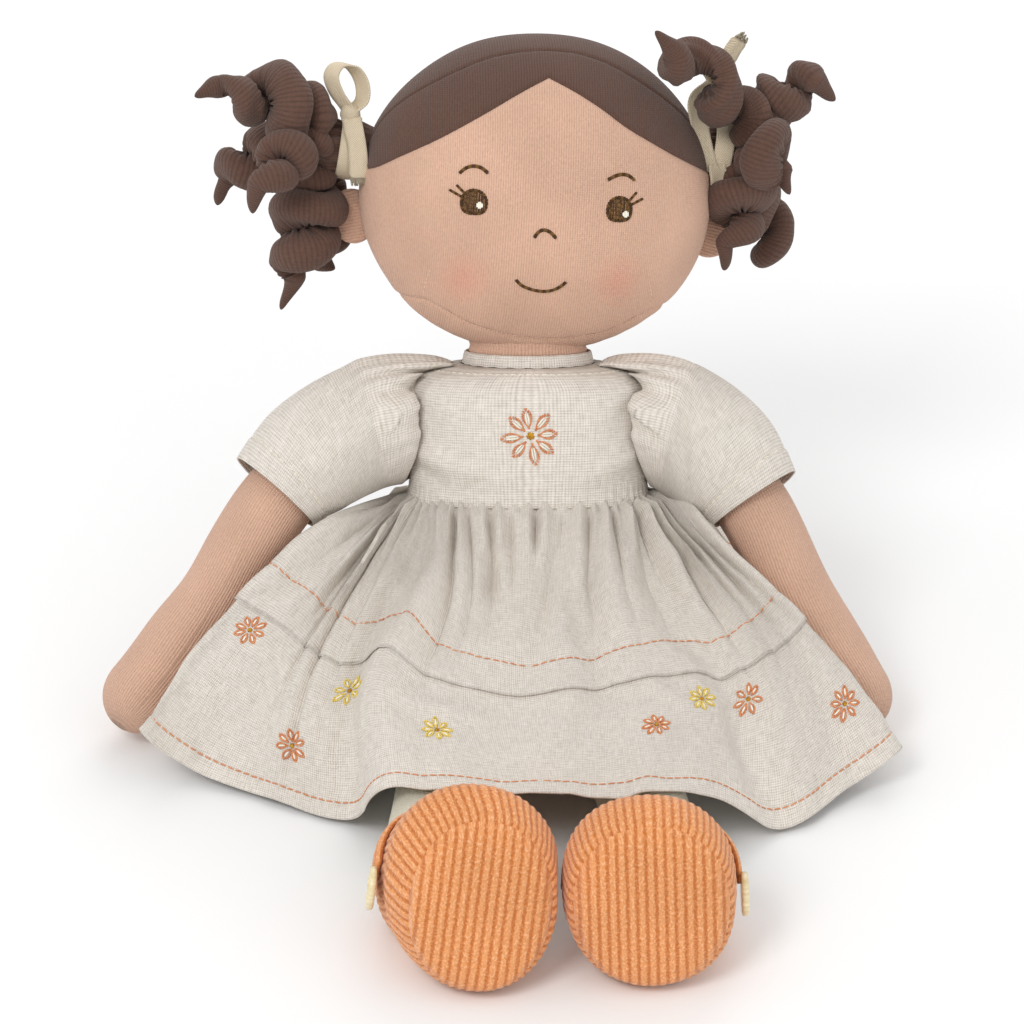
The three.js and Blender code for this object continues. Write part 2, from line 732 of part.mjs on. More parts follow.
// Stations round the skirt: angle at the waist in degrees from the front middle towards the
// doll's left, then three places on the cloth (lap, knee, hem) as shares of the skirt's length.
const skirtShares = [
  [0, 0, -0.28, 0.395, 0.015, -0.637, 0.3, 0.037, -0.94, 0.282],
  [22, 0.133, -0.267, 0.4, 0.178, -0.607, 0.3, 0.178, -0.94, 0.274],
  [40, 0.237, -0.237, 0.395, 0.326, -0.563, 0.285, 0.296, -0.911, 0.25],
  [55, 0.34, -0.2, 0.385, 0.46, -0.5, 0.25, 0.43, -0.837, 0.155],
  [68, 0.42, -0.17, 0.39, 0.57, -0.44, 0.245, 0.622, -0.75, 0.024],
  [80, 0.46, -0.15, 0.4, 0.65, -0.39, 0.27, 0.763, -0.62, 0.04],
  [90, 0.489, -0.13, 0.41, 0.71, -0.345, 0.32, 0.905, -0.51, 0.094],
  [98, 0.44, 0.03, 0.345, 0.6, -0.22, 0.21, 0.69, -0.42, 0.024],
  [108, 0.4, 0.12, 0.31, 0.55, -0.04, 0.13, 0.65, -0.17, 0.02],
  [120, 0.385, 0.19, 0.28, 0.53, 0.16, 0.09, 0.66, 0.16, 0.02],
  [138, 0.326, 0.34, 0.27, 0.46, 0.43, 0.075, 0.62, 0.6, 0.02],
  [158, 0.178, 0.43, 0.27, 0.27, 0.61, 0.075, 0.36, 0.88, 0.02],
  [180, 0, 0.46, 0.27, 0, 0.67, 0.075, 0, 0.97, 0.02],
  [202, -0.178, 0.43, 0.27, -0.27, 0.61, 0.075, -0.36, 0.88, 0.02],
  [222, -0.326, 0.34, 0.27, -0.46, 0.43, 0.075, -0.62, 0.6, 0.02],
  [240, -0.385, 0.19, 0.28, -0.53, 0.16, 0.09, -0.66, 0.16, 0.02],
  [252, -0.4, 0.12, 0.31, -0.56, -0.03, 0.13, -0.69, -0.1, 0.02],
  [262, -0.44, 0.05, 0.35, -0.64, -0.17, 0.2, -0.76, -0.36, 0.024],
  [270, -0.474, -0.06, 0.43, -0.75, -0.3, 0.325, -0.94, -0.525, 0.15],
  [280, -0.45, -0.13, 0.4, -0.66, -0.37, 0.265, -0.82, -0.54, 0.05],
  [292, -0.41, -0.16, 0.39, -0.56, -0.45, 0.22, -0.622, -0.63, 0.024],
  [305, -0.34, -0.2, 0.385, -0.45, -0.52, 0.235, -0.452, -0.72, 0.024],
  [320, -0.237, -0.237, 0.395, -0.326, -0.59, 0.285, -0.3, -0.896, 0.255],
  [338, -0.133, -0.267, 0.4, -0.178, -0.62, 0.3, -0.119, -0.926, 0.276],
];

function waistPlace(degrees) {
  const angle = THREE.MathUtils.degToRad(degrees);
  const size = bodiceShares[0];
  const place = new THREE.Vector3(
    bodiceHalfWidth * size[1] * squared(Math.sin(angle), size[3]),
    -bodiceHalfDepth * size[2] * squared(Math.cos(angle), size[3]),
    waistRise - seamGap,
  );
  return torso.localToWorld(place);
}

// A point on the cloth: round is counted in stations, down runs from waist (0) to hem (1).
function skirtSurface() {
  const rows = [0, 1, 2, 3].map((row) => new THREE.CatmullRomCurve3(
    skirtShares.map((station) => (row === 0 ? waistPlace(station[0])
      : new THREE.Vector3(...station.slice(3 * row - 2, 3 * row + 1)).multiplyScalar(skirtLength))),
    true, 'centripetal',
  ));
  return (round, down) => {
    const share = (((round / skirtShares.length) % 1) + 1) % 1;
    const line = new THREE.CatmullRomCurve3(rows.map((row) => row.getPoint(share)));
    return line.getPoint(down);
  };
}

const skirtRows = 5;
const foldsPerStation = 0.75;
const foldDownShare = 0.55;     // how soon down the cloth a fold reaches its depth
const skirtPoint = skirtSurface();

function foldedPoint(round, down) {
  const step = 0.02;            // of a station, or of the way down
  const here = skirtPoint(round, down);
  const alongRound = skirtPoint(round + step, down).sub(skirtPoint(round - step, down));
  const alongDown = skirtPoint(round, Math.min(1, down + step))
    .sub(skirtPoint(round, Math.max(0, down - step)));
  const outward = alongDown.cross(alongRound).normalize();
  const fold = Math.sin(2 * Math.PI * foldsPerStation * round);
  const depth = foldDepth * fold * Math.sin(Math.PI * foldDownShare * down);
  return { place: here.clone().addScaledVector(outward, depth), outward };
}

function skirtForm(from, to, columns) {
  const top = [];
  const under = [];
  for (let row = 0; row <= skirtRows; row += 1) {
    for (let column = 0; column <= columns; column += 1) {
      const round = from + ((to - from) * column) / columns;
      const { place, outward } = foldedPoint(round, row / skirtRows);
      top.push(place);
      under.push(place.clone().addScaledVector(outward, -clothWall));
    }
  }
  const wide = columns + 1;
  const count = top.length;
  const faces = [];
  const quad = (a, b, c, d) => faces.push(a, b, c, a, c, d);
  for (let row = 0; row < skirtRows; row += 1) {
    for (let column = 0; column < columns; column += 1) {
      const a = row * wide + column;
      quad(a, a + wide, a + wide + 1, a + 1);
      quad(count + a, count + a + 1, count + a + wide + 1, count + a + wide);
    }
  }
  for (let column = 0; column < columns; column += 1) {
    const hem = skirtRows * wide + column;
    quad(column, column + 1, count + column + 1, count + column);
    quad(hem + 1, hem, count + hem, count + hem + 1);
  }
  for (let row = 0; row < skirtRows; row += 1) {
    const [a, b] = [row * wide, row * wide + columns];
    quad(a + wide, a, count + a, count + a + wide);
    quad(b, b + wide, count + b + wide, count + b);
  }
  return geometryFrom([...top, ...under], faces);
}

// The front is cut from one side seam to the other, counted in stations, and the back is the rest.
const skirtSeamShare = 0.02;    // of a station, left open at each side seam
const sideSeams = [-7, 8];
const frontColumns = 30;
const backColumns = 13;
add(doll, 'skirt_front', skirtForm(
  sideSeams[0] + skirtSeamShare, sideSeams[1] - skirtSeamShare, frontColumns,
), paint.linen);
add(doll, 'skirt_back', skirtForm(
  sideSeams[1] + skirtSeamShare, sideSeams[0] + skirtShares.length - skirtSeamShare, backColumns,
), paint.linen);

// Back buttons of the bodice

const backButtonShares = { back_button_top: 0.72, back_button_bottom: 0.28 };
for (const [name, share] of Object.entries(backButtonShares)) {
  const length = 2 * (backButtonThickness + seamGap);
  const button = new THREE.CylinderGeometry(backButtonRadius, backButtonRadius, length, 12)
    .translate(0, bodiceHalfDepth, waistRise + share * (bodiceTop - waistRise));
  add(torso, name, carved(button, torso, [[bodiceOuter(seamGap), torso]]), paint.button);
}

// Legs and shoes

const legSides = 10;
const hipShare = 0.7;           // of the torso's half depth, where a leg is sewn on
const legShares = [
  // how far along, radius
  [0, 0.24], [0.06, 0.42], [0.2, 0.9], [0.45, 0.98], [0.75, 0.94], [1, 0.97],
];

const legForm = legShares.map(([along, share]) => ring(
  0, 0, along * legLength, legRadius * share, legRadius * share,
));

// Shoe rings from the ankle forward to the sole: how far forward, height of the centre,
// half width, half height and lean, as shares of the shoe's own sizes.
const upperShares = [
  [0, 0.52, 0.545, 0.49, 0], [0.16, 0.6, 0.66, 0.6, 0.1], [0.36, 0.8, 0.87, 0.82, 0.4],
  [0.62, 0.95, 0.985, 0.965, 0.8], [0.86, 0.985, 1.0, 1.0, 1], [1.0, 0.985, 0.95, 0.955, 1],
];
const soleShares = [[0, 0.95, 0.955], [0.55, 0.88, 0.9], [0.9, 0.62, 0.66], [1, 0.2, 0.22]];
const ankleShare = 0.625;       // of the shoe's depth, over which it comes in line with the leg
const shoeSides = 12;
const shoeSquareShare = 2.15;

function upperRings(ankle, lean) {
  return upperShares.map(([forward, height, width, rise, leanShare]) => {
    const atAnkle = Math.max(0, 1 - forward / ankleShare);
    const up = THREE.MathUtils.lerp(height * shoeHalfHeight, ankle.y, atAnkle);
    return ring(
      ankle.x * atAnkle, up, forward * shoeDepth,
      shoeHalfWidth * width, shoeHalfHeight * rise, shoeSquareShare, tilted(-lean * leanShare),
    );
  });
}

function soleRings(lean) {
  const up = upperShares.at(-1)[1] * shoeHalfHeight;
  const start = shoeDepth + seamGap / Math.cos(lean);
  return soleShares.map(([bulge, width, rise]) => ring(
    0, up, start + bulge * soleBulge,
    shoeHalfWidth * width, shoeHalfHeight * rise, shoeSquareShare, tilted(-lean),
  ));
}

// The strap crosses the instep aslant. Its tab lifts about the top; the base is sewn down.
const strapSlant = THREE.MathUtils.degToRad(42);
const strapTopShare = { height: 1.28, forward: 0.2 };
const strapFootShare = 0.42;
const shoeButtonShare = 0.68;   // of the shoe's half height, up to the button's middle

function strapSolid(outer) {
  const span = 3 * shoeHalfWidth;
  const slanted = new THREE.BoxGeometry(span, 2 * span, strapWidth).rotateX(-strapSlant)
    .translate(0, strapTopShare.height * shoeHalfHeight, strapTopShare.forward * shoeDepth);
  const above = slab(span, span, 2 * span, 0, strapFootShare * shoeHalfHeight + span / 2, 0);
  return toSolid(outer(seamGap + strapThickness)).intersect(toSolid(slanted))
    .intersect(toSolid(above)).subtract(toSolid(outer(seamGap)));
}

function shoeButtonSolid(side, outer) {
  const height = shoeButtonShare * shoeHalfHeight;
  const fall = strapTopShare.height * shoeHalfHeight - height;
  const forward = strapTopShare.forward * shoeDepth + fall * Math.tan(strapSlant);
  const ground = shoeHalfWidth + 2 * seamGap + strapThickness;
  const button = new THREE.CylinderGeometry(
    shoeButtonRadius, shoeButtonRadius, 2 * shoeButtonThickness, 12,
  ).rotateZ(Math.PI / 2).translate(side * ground, height, forward);
  return toSolid(button).subtract(toSolid(outer(2 * seamGap + strapThickness)));
}

function addStrap(label, side, shoe, outer, trim) {
  const span = 3 * shoeHalfWidth;
  const band = strapSolid(outer);
  const half = (way) => toSolid(slab(span, 2 * span, 2 * span, way * (span + seamGap) / 2, 0, 0));
  const cut = (solid) => carved(fromSolid(solid), shoe, trim);
  add(shoe, `${label}_strap_base`, cut(band.intersect(half(-side))), paint.corduroy);
  add(shoe, `${label}_strap_tab`, cut(band.intersect(half(side))), paint.corduroy);
  add(shoe, `${label}_shoe_button`, cut(shoeButtonSolid(side, outer)), paint.button);
}

function addLeg({ label, side, hipX, yaw, shoeX, lean, roll }) {
  const leg = new THREE.Group();
  leg.position.set(hipX, -hipShare * torsoHalfDepth - seamGap, hipRise);
  leg.rotation.set(Math.PI / 2, 0, THREE.MathUtils.degToRad(yaw), 'ZYX');
  doll.add(leg);
  add(leg, `${label}_leg_skin`, carved(
    skinForm(legForm, skinWall, legSides, false, true), leg, [[torsoOuter(seamGap), torso]],
  ), paint.tights);
  add(leg, `${label}_leg_filling`, solidForm(
    inset(legForm, skinWall + seamGap).slice(1), legSides,
  ), paint.stuffing);

  const shoe = new THREE.Group();
  const ankle = leg.localToWorld(new THREE.Vector3(0, 0, legLength));
  shoe.position.set(shoeX, ankle.y - seamGap, -floorCut);
  shoe.rotation.set(Math.PI / 2, THREE.MathUtils.degToRad(roll), 0, 'ZYX');
  doll.add(shoe);
  const soleLean = THREE.MathUtils.degToRad(lean);
  const upper = upperRings(shoe.worldToLocal(ankle.clone()), soleLean);
  const outer = (distance) => solidForm(inset(upper, -distance), shoeSides);
  const span = 4 * shoeHalfHeight;
  const pressAt = (gap) => [slab(
    span, span, span, shoeMidline - side * (span / 2 - gap), shoe.position.y, 0,
  ), doll];
  const legCutter = [solidForm(inset(legForm, -seamGap), legSides), leg];
  const trim = [floorCutter, pressAt(seamGap / 2), legCutter];
  add(shoe, `${label}_shoe_upper`, carved(
    skinForm(upper, skinWall, shoeSides, true, true), shoe, trim,
  ), paint.corduroy);
  add(shoe, `${label}_shoe_sole`, carved(
    solidForm(soleRings(soleLean), shoeSides), shoe, trim,
  ), paint.corduroy);
  const inside = skinWall + footGap;
  add(shoe, `${label}_foot_filling`, carved(
    solidForm(inset(upper, inside), shoeSides), shoe, [[slabUnder(inside), doll], pressAt(inside)],
  ), paint.stuffing);
  addStrap(label, side, shoe, outer, trim);
}

addLeg(rightLeg);
addLeg(leftLeg);

export default doll;
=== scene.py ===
import math

import bpy
import numpy as np
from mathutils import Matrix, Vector


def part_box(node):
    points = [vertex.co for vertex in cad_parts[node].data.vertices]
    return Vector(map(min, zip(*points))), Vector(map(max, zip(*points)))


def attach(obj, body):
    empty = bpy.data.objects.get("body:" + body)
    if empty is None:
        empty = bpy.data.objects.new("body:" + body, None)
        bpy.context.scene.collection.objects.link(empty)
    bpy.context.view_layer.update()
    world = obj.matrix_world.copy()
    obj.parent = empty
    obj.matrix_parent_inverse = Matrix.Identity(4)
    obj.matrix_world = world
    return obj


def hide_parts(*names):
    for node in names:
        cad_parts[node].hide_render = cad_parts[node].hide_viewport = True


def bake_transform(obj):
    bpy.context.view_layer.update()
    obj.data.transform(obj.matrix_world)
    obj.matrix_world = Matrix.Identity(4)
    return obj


bl_info = {
    "name": "Rag Doll in a Linen Dress",
    "version": (1, 0, 0),
    "blender": (4, 5, 0),
    "location": "View3D > Sidebar > Rag Doll",
    "description": "Sews the jersey, linen, corduroy and embroidery of a seated rag doll",
    "category": "Add Mesh",
}

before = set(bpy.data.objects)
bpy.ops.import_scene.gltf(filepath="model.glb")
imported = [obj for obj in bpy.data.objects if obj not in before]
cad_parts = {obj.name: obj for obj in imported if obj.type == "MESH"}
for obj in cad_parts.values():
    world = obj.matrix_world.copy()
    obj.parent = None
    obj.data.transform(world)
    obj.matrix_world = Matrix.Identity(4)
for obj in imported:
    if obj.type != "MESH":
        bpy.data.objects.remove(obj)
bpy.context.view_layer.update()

MM = 0.001
TURN = 2 * math.pi

# Sizes of the stuffed and sewn forms, in metres, as the doll is cut. The tilt is in degrees.

seam_gap = 0.3 * MM
torso_height = 106 * MM
torso_half = (35 * MM, 25.5 * MM)
neck_half = (20 * MM, 16 * MM)
neck_length = 22 * MM
neck_base = torso_height + 6 * MM
head_half = np.array([60, 43, 54]) * MM
head_rise = 53.5 * MM
jaw_share = 0.04
ear_half = np.array([8.2, 3.2, 9.4]) * MM
ear_tilt = 14
bunch_rises = {"right": 12 * MM, "left": 15 * MM}
root_length = 11 * MM
root_radius = 10.5 * MM
curl_radius = 5.9 * MM
curl_coil = 4.6 * MM
bunch_reach = 50 * MM
arm_radius = 12.8 * MM
shoulder_rise = torso_height - 14 * MM
arm_reach = {"right": 97 * MM, "left": 77 * MM}
arm_forward = 76 * MM
arm_drop = 73.5 * MM
bodice_half = (41 * MM, 29.5 * MM)
waist_rise = 63 * MM
bodice_top = torso_height + 1.6 * MM
cloth_wall = 0.7 * MM
tape_wall = 0.6 * MM
neckband_wall = 0.3 * MM
shoe_wall = 1 * MM
strap_wall = 1.2 * MM
bodice_girth = TURN * 36 * MM
tape_knot_half = np.array([3.6, 2.6, 3.3]) * MM
armhole_half = (19 * MM, 15.5 * MM)
armhole_rise = torso_height - 20 * MM
sleeve_puff = 21.5 * MM
sleeve_hem = 16.6 * MM
sleeve_lift = 8 * MM
skirt_length = 135 * MM
leg_radius = 15 * MM
leg_length = 124 * MM
hip_rise = 15.2 * MM
shoe_half = (26.8 * MM, 30.3 * MM)
shoe_depth = 38 * MM
sole_bulge = 5 * MM
shoe_midline = 9.1 * MM
strap_width = 8 * MM
strap_thickness = 1.6 * MM
# Radius and thickness of the buttons, and the radius of the thread that holds them
shoe_button = (6.9 * MM, 2.2 * MM)
back_button = (5 * MM, 2.0 * MM)
button_thread = 0.28 * MM
# A stitch on the bodice: its length, the gap after it and the radius of its thread
bodice_stitch = (1.7 * MM, 0.9 * MM, 0.2 * MM)
# How far the petals of the flowers reach, in mm
bodice_flower_reach = 9.3
skirt_flower_reach = 5.4
sides = {"right": -1, "left": 1}
# Where each hip and shoe lies to the side, and how the leg, sole and shoe are turned in degrees
legs = {
    "right": {"hip": -23 * MM, "yaw": -4, "shoe": -22 * MM, "lean": 22, "roll": 8},
    "left": {"hip": 24 * MM, "yaw": 8, "shoe": 37.4 * MM, "lean": 14, "roll": -2},
}
# The sole's seam inside the shoe's outline: share of its width and height, its shift, and how much
# of its height the shoe has sunk
soles = {
    "right": {"wide": 0.85, "tall": 0.9, "right": 3.2 * MM, "up": -1.6 * MM, "low": 0.0},
    "left": {"wide": 0.93, "tall": 0.92, "right": 0.3 * MM, "up": -1.4 * MM, "low": 0.05},
}


def srgb(red, green, blue):
    """A colour given as 0 to 255 on a screen, as light."""
    return tuple(
        c / 12.92 if c <= 0.04045 else ((c + 0.055) / 1.055) ** 2.4
        for c in (red / 255, green / 255, blue / 255)
    )


# Curves and turns


def turn_x(degrees):
    """The matrix of a turn about the x axis."""
    c, s = math.cos(math.radians(degrees)), math.sin(math.radians(degrees))
    return np.array([[1, 0, 0], [0, c, -s], [0, s, c]])


def turn_y(degrees):
    """The matrix of a turn about the y axis."""
    c, s = math.cos(math.radians(degrees)), math.sin(math.radians(degrees))
    return np.array([[c, 0, s], [0, 1, 0], [-s, 0, c]])


def turn_z(degrees):
    """The matrix of a turn about the z axis."""
    c, s = math.cos(math.radians(degrees)), math.sin(math.radians(degrees))
    return np.array([[c, -s, 0], [s, c, 0], [0, 0, 1]])


class Place:
    """Axes of one part of the doll: how they are turned and where they start."""

    def __init__(self, turn, origin):
        self.turn = turn
        self.origin = np.array(origin, float)

    def at(self, points):
        """World places of points in the part's own axes."""
        return np.asarray(points, float) @ self.turn.T + self.origin

    def back(self, points):
        """World places in the part's own axes."""
        return (points - self.origin) @ self.turn

    def along(self, vectors):
        """World directions of vectors in the part's own axes."""
        return np.asarray(vectors, float) @ self.turn.T

    def within(self, turn, origin):
        """A place inside this one, turned and moved in its axes."""
        return Place(self.turn @ turn, self.at(origin))


torso = Place(turn_x(-20), (0, 0, 0))
head = torso.within(turn_z(5) @ turn_y(2.7), (0, 0, neck_base))


def unit(vectors):
    """Vectors of length 1 with the same directions."""
    length = np.linalg.norm(vectors, axis=-1, keepdims=True)
    return vectors / np.maximum(length, 1e-12)


def ease(start, end, value):
    """0 before start, 1 after end and smooth between them."""
    share = np.clip((np.asarray(value, float) - start) / (end - start), 0, 1)
    return share * share * (3 - 2 * share)


def mound(value, middle, width):
    """A soft hump: 1 at the middle and nearly 0 past its width."""
    return np.exp(-(((np.asarray(value, float) - middle) / width) ** 2))


def spline(points, share, closed=False):
    """The curve through the points at each share of its run. Points may hold one row for each share."""
    p = np.asarray(points, float)
    share = np.atleast_1d(np.asarray(share, float))
    count = len(p)
    place = share * (count if closed else count - 1)
    index = np.floor(place).astype(int)
    if not closed:
        index = np.clip(index, 0, count - 2)
        p = np.concatenate([[2 * p[0] - p[1]], p, [2 * p[-1] - p[-2]]])
    weight = (place - index)[:, None]
    row = np.arange(len(share))

    def pick(shift):
        i = (index + shift - 1) % count if closed else index + shift
        return p[i, row] if p.ndim == 3 else p[i]

    a, b, c, d = pick(0), pick(1), pick(2), pick(3)
    ab, bc, cd = (
        np.maximum(np.linalg.norm(y - x, axis=-1, keepdims=True), 1e-9) ** 0.5
        for x, y in ((a, b), (b, c), (c, d))
    )
    start = ((b - a) / ab - (c - a) / (ab + bc) + (c - b) / bc) * bc
    end = ((c - b) / bc - (d - b) / (bc + cd) + (d - c) / cd) * bc
    bend = 3 * (c - b) - 2 * start - end
    return b + weight * (start + weight * (bend + weight * (2 * (b - c) + start + end)))


def evenly(points, shares):
    """Places and directions on the curve through the points, by shares of its length."""
    steps = np.linspace(0, 1, 400)
    line = spline(points, steps)
    run = run_along(line)
    at = np.interp(np.asarray(shares, float) * run[-1], run, steps)
    near = 1e-3
    forward = spline(points, np.minimum(at + near, 1)) - spline(points, np.maximum(at - near, 0))
    return spline(points, at), unit(forward), run[-1]


def smoothly(value, table, column):
    """A column of a table at each value of its first column, with no overshoot."""
    xs = np.array([row[0] for row in table], float)
    ys = np.array([row[column] for row in table], float)
    step = np.diff(xs)
    slope = np.diff(ys) / step
    lean = np.zeros(len(xs))
    same = slope[1:] * slope[:-1] > 0
    product, total = 2 * slope[1:] * slope[:-1], slope[1:] + slope[:-1]
    lean[1:-1] = np.where(same, product / np.where(same, total, 1), 0)
    lean[0], lean[-1] = slope[0], slope[-1]
    i = np.clip(np.searchsorted(xs, value) - 1, 0, len(xs) - 2)
    t = np.clip((value - xs[i]) / step[i], 0, 1)
    rise = ys[i + 1] - ys[i]
    start, end = lean[i] * step[i], lean[i + 1] * step[i]
    return ys[i] + t * (start + t * (3 * rise - 2 * start - end + t * (start + end - 2 * rise)))


def run_along(points):
    """How far along its line each point lies."""
    return np.concatenate([[0], np.cumsum(np.linalg.norm(np.diff(points, axis=0), axis=1))])


def squared(value, power):
    """A cosine or sine that draws an oval, squarer as the power grows past 2."""
    return np.sign(value) * np.abs(value) ** (2 / power)


def turned_to(directions):
    """Matrices that turn straight up to each direction the short way."""
    x, y, z = np.moveaxis(np.atleast_2d(directions), -1, 0)
    k = 1 / np.maximum(1 + z, 1e-9)
    rows = [[1 - x * x * k, -x * y * k, x], [-x * y * k, 1 - y * y * k, y], [-x, -y, z]]
    return np.moveaxis(np.array(rows), -1, 0)


def loft(centres, wide, deep, power, turns, angles):
    """Rows of points round each centre: an oval, squarer as the power grows past 2."""
    wide, deep, power = (
        np.broadcast_to(np.asarray(value, float), len(centres))[:, None] for value in (wide, deep, power)
    )
    c, s = np.cos(angles)[None], np.sin(angles)[None]
    flat = np.stack([wide * squared(c, power), deep * squared(s, power), 0 * (wide + c)], -1)
    return np.einsum("nij,nmj->nmi", turns, flat) + np.asarray(centres)[:, None]


def ring_angles(count):
    """Angles of points evenly round a ring, in radians."""
    return np.arange(count) * TURN / count


def drift(seed, count, *values):
    """A smooth wandering value between about -1 and 1, the same for the same seed."""
    dice = np.random.default_rng(seed)
    total = 0
    for _ in range(count):
        pull = dice.normal(size=len(values))
        total = total + np.sin(sum(p * v for p, v in zip(pull, values)) + dice.uniform(0, TURN))
    return total / math.sqrt(count)


# Meshes


class Form:
    """Points, faces and the cloth's own coordinates, in metres, gathered into one mesh."""

    def __init__(self):
        self.points, self.faces, self.cloth, self.tones, self.count = [], [], [], [], 0

    def add_points(self, points, tone=0.5):
        first = self.count
        flat = np.asarray(points, float).reshape(-1, 3)
        self.points.append(flat)
        self.tones.append(np.broadcast_to(np.asarray(tone, float), len(flat)))
        self.count += len(flat)
        return first

    def add_faces(self, corners, cloth):
        self.faces.append(np.asarray(corners, int))
        self.cloth.append(np.asarray(cloth, float))

    def net(self, rows, cloth, wrap=False, flip=False):
        """Quads between rows of points. Cloth has one column more than the rows where the net wraps."""
        height, width = rows.shape[:2]
        first = self.add_points(rows)
        i, j = np.meshgrid(np.arange(height - 1), np.arange(width if wrap else width - 1), indexing="ij")
        k = (j + 1) % width
        above, below = i * width, (i + 1) * width
        corners = first + np.stack([above + j, above + k, below + k, below + j], -1)
        spots = np.stack([cloth[i, j], cloth[i, j + 1], cloth[i + 1, j + 1], cloth[i + 1, j]], -2)
        if flip:
            corners, spots = corners[..., ::-1], spots[..., ::-1, :]
        self.add_faces(corners.reshape(-1, 4), spots.reshape(-1, 4, 2))
        return first

    def lid(self, first, width, centre, spots, middle, flip=False):
        """Closes a row of points that wraps, with triangles to a centre."""
        tip = self.add_points([centre])
        j = np.arange(width)
        corners = np.stack([first + j, first + (j + 1) % width, np.full(width, tip)], -1)
        cloth = np.stack([spots[j], spots[j + 1], np.broadcast_to(middle, (width, 2))], -2)
        if flip:
            corners, cloth = corners[:, ::-1], cloth[:, ::-1]
        self.add_faces(corners, cloth)

    def tube(self, rows, cloth, start=None, end=None):
        """A wrapped net, closed at the given places or at the middle of its end rows."""
        height, width = rows.shape[:2]
        first = self.net(rows, cloth, wrap=True)
        start = rows[0].mean(0) if start is None else start
        end = rows[-1].mean(0) if end is None else end
        self.lid(first, width, start, cloth[0], cloth[0].mean(0), flip=True)
        self.lid(first + (height - 1) * width, width, end, cloth[-1], cloth[-1].mean(0))

    def threads(self, starts, ends, facing, radius, tone=0.5, lift=0.4):
        """Stitches of thread from each start to each end, arched away from the cloth and flattened."""
        starts, ends, facing = (np.atleast_2d(np.asarray(x, float)) for x in (starts, ends, facing))
        count, around, flat = len(starts), 6, 0.75
        radius = np.broadcast_to(np.asarray(radius, float), count)
        along = ends - starts
        length = np.linalg.norm(along, axis=1)
        forward = unit(along)
        across = unit(np.cross(facing, forward))
        up = np.cross(forward, across)
        shares = np.array([0, 0.08, 0.3, 0.7, 0.92, 1])
        girths = np.array([0.35, 0.8, 1, 1, 0.8, 0.35])
        sink = np.array([-0.5, 0, lift, lift, 0, -0.5])
        angle = ring_angles(around)
        centres = starts[:, None] + along[:, None] * shares[None, :, None]
        centres = centres + up[:, None] * (radius[:, None] * sink[None])[..., None]
        girth = radius[:, None, None, None] * girths[None, :, None, None]
        rows = centres[:, :, None] + girth * (
            across[:, None, None] * np.cos(angle)[None, None, :, None]
            + up[:, None, None] * flat * np.sin(angle)[None, None, :, None]
        )
        tones = np.broadcast_to(np.asarray(tone, float), count)
        first = self.add_points(rows, np.repeat(tones, len(shares) * around))
        base = first + np.arange(count)[:, None] * len(shares) * around
        i, j = (x.ravel() for x in np.meshgrid(np.arange(len(shares) - 1), np.arange(around), indexing="ij"))
        k = (j + 1) % around
        quad = np.stack([i * around + j, i * around + k, (i + 1) * around + k, (i + 1) * around + j], -1)
        v = np.stack([j, j + 1, j + 1, j], -1) / around
        u = np.stack([shares[i], shares[i], shares[i + 1], shares[i + 1]], -1)
        cloth = np.stack([u[None] * length[:, None, None], np.broadcast_to(v, (count, *v.shape))], -1)
        self.add_faces((base[:, :, None] + quad[None]).reshape(-1, 4), cloth.reshape(-1, 4, 2))
        cap = np.arange(around)
        for ring, order in ((0, cap[::-1]), (len(shares) - 1, cap)):
            self.add_faces(base + ring * around + order[None], np.zeros((count, around, 2)))

    def mesh(self, name):
        made = bpy.data.meshes.new(name)
        points = np.concatenate(self.points)
        corners = np.concatenate([f.ravel() for f in self.faces])
        sizes = np.concatenate([np.full(len(f), f.shape[1]) for f in self.faces])
        cloth = np.concatenate([c.reshape(-1, 2) for c in self.cloth])
        made.vertices.add(len(points))
        made.vertices.foreach_set("co", points.ravel())
        made.loops.add(len(corners))
        made.loops.foreach_set("vertex_index", corners)
        made.polygons.add(len(sizes))
        made.polygons.foreach_set("loop_start", np.cumsum(sizes) - sizes)
        made.update(calc_edges=True)
        made.polygons.foreach_set("use_smooth", np.ones(len(sizes), bool))
        made.uv_layers.new(name="cloth").data.foreach_set("uv", cloth.ravel())
        tone = made.attributes.new("tone", "FLOAT", "POINT")
        tone.data.foreach_set("value", np.concatenate(self.tones))
        return made


def sew(name, form, finish, body=None, stands_for=(), wall=0.0):
    """Makes the form a piece of the doll: its finish, the body it moves with and the solids it shows."""
    made = bpy.data.objects.new(name, form.mesh(name))
    bpy.context.scene.collection.objects.link(made)
    made.data.materials.append(material(finish))
    if wall:
        thicken = made.modifiers.new("Wall", "SOLIDIFY")
        thicken.thickness = wall
        thicken.offset = -1
    if body:
        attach(made, body)
    if stands_for:
        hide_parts(*stands_for)
    return made


def in_step(a, b):
    """The common shape of two arguments, and both drawn out to one row of numbers each."""
    a, b = np.broadcast_arrays(np.asarray(a, float), np.asarray(b, float))
    return a.shape, a.ravel(), b.ravel()


def spots(u, v):
    """The cloth's coordinates for every column u and row v."""
    return np.stack(np.broadcast_arrays(np.asarray(u)[None, :], np.asarray(v)[:, None]), -1)


def round_spots(u, v):
    """Coordinates for rings of points, each closed by a copy of its first column."""
    return np.stack([np.concatenate([value, value[:, :1]], 1) for value in (u, v)], -1)


def facing_of(surface, a, b, step_a, step_b):
    """Which way a surface faces at each place (a, b)."""
    across = surface(a + step_a, b) - surface(a - step_a, b)
    down = surface(a, b + step_b) - surface(a, b - step_b)
    return unit(np.cross(across, down))


# Finishes


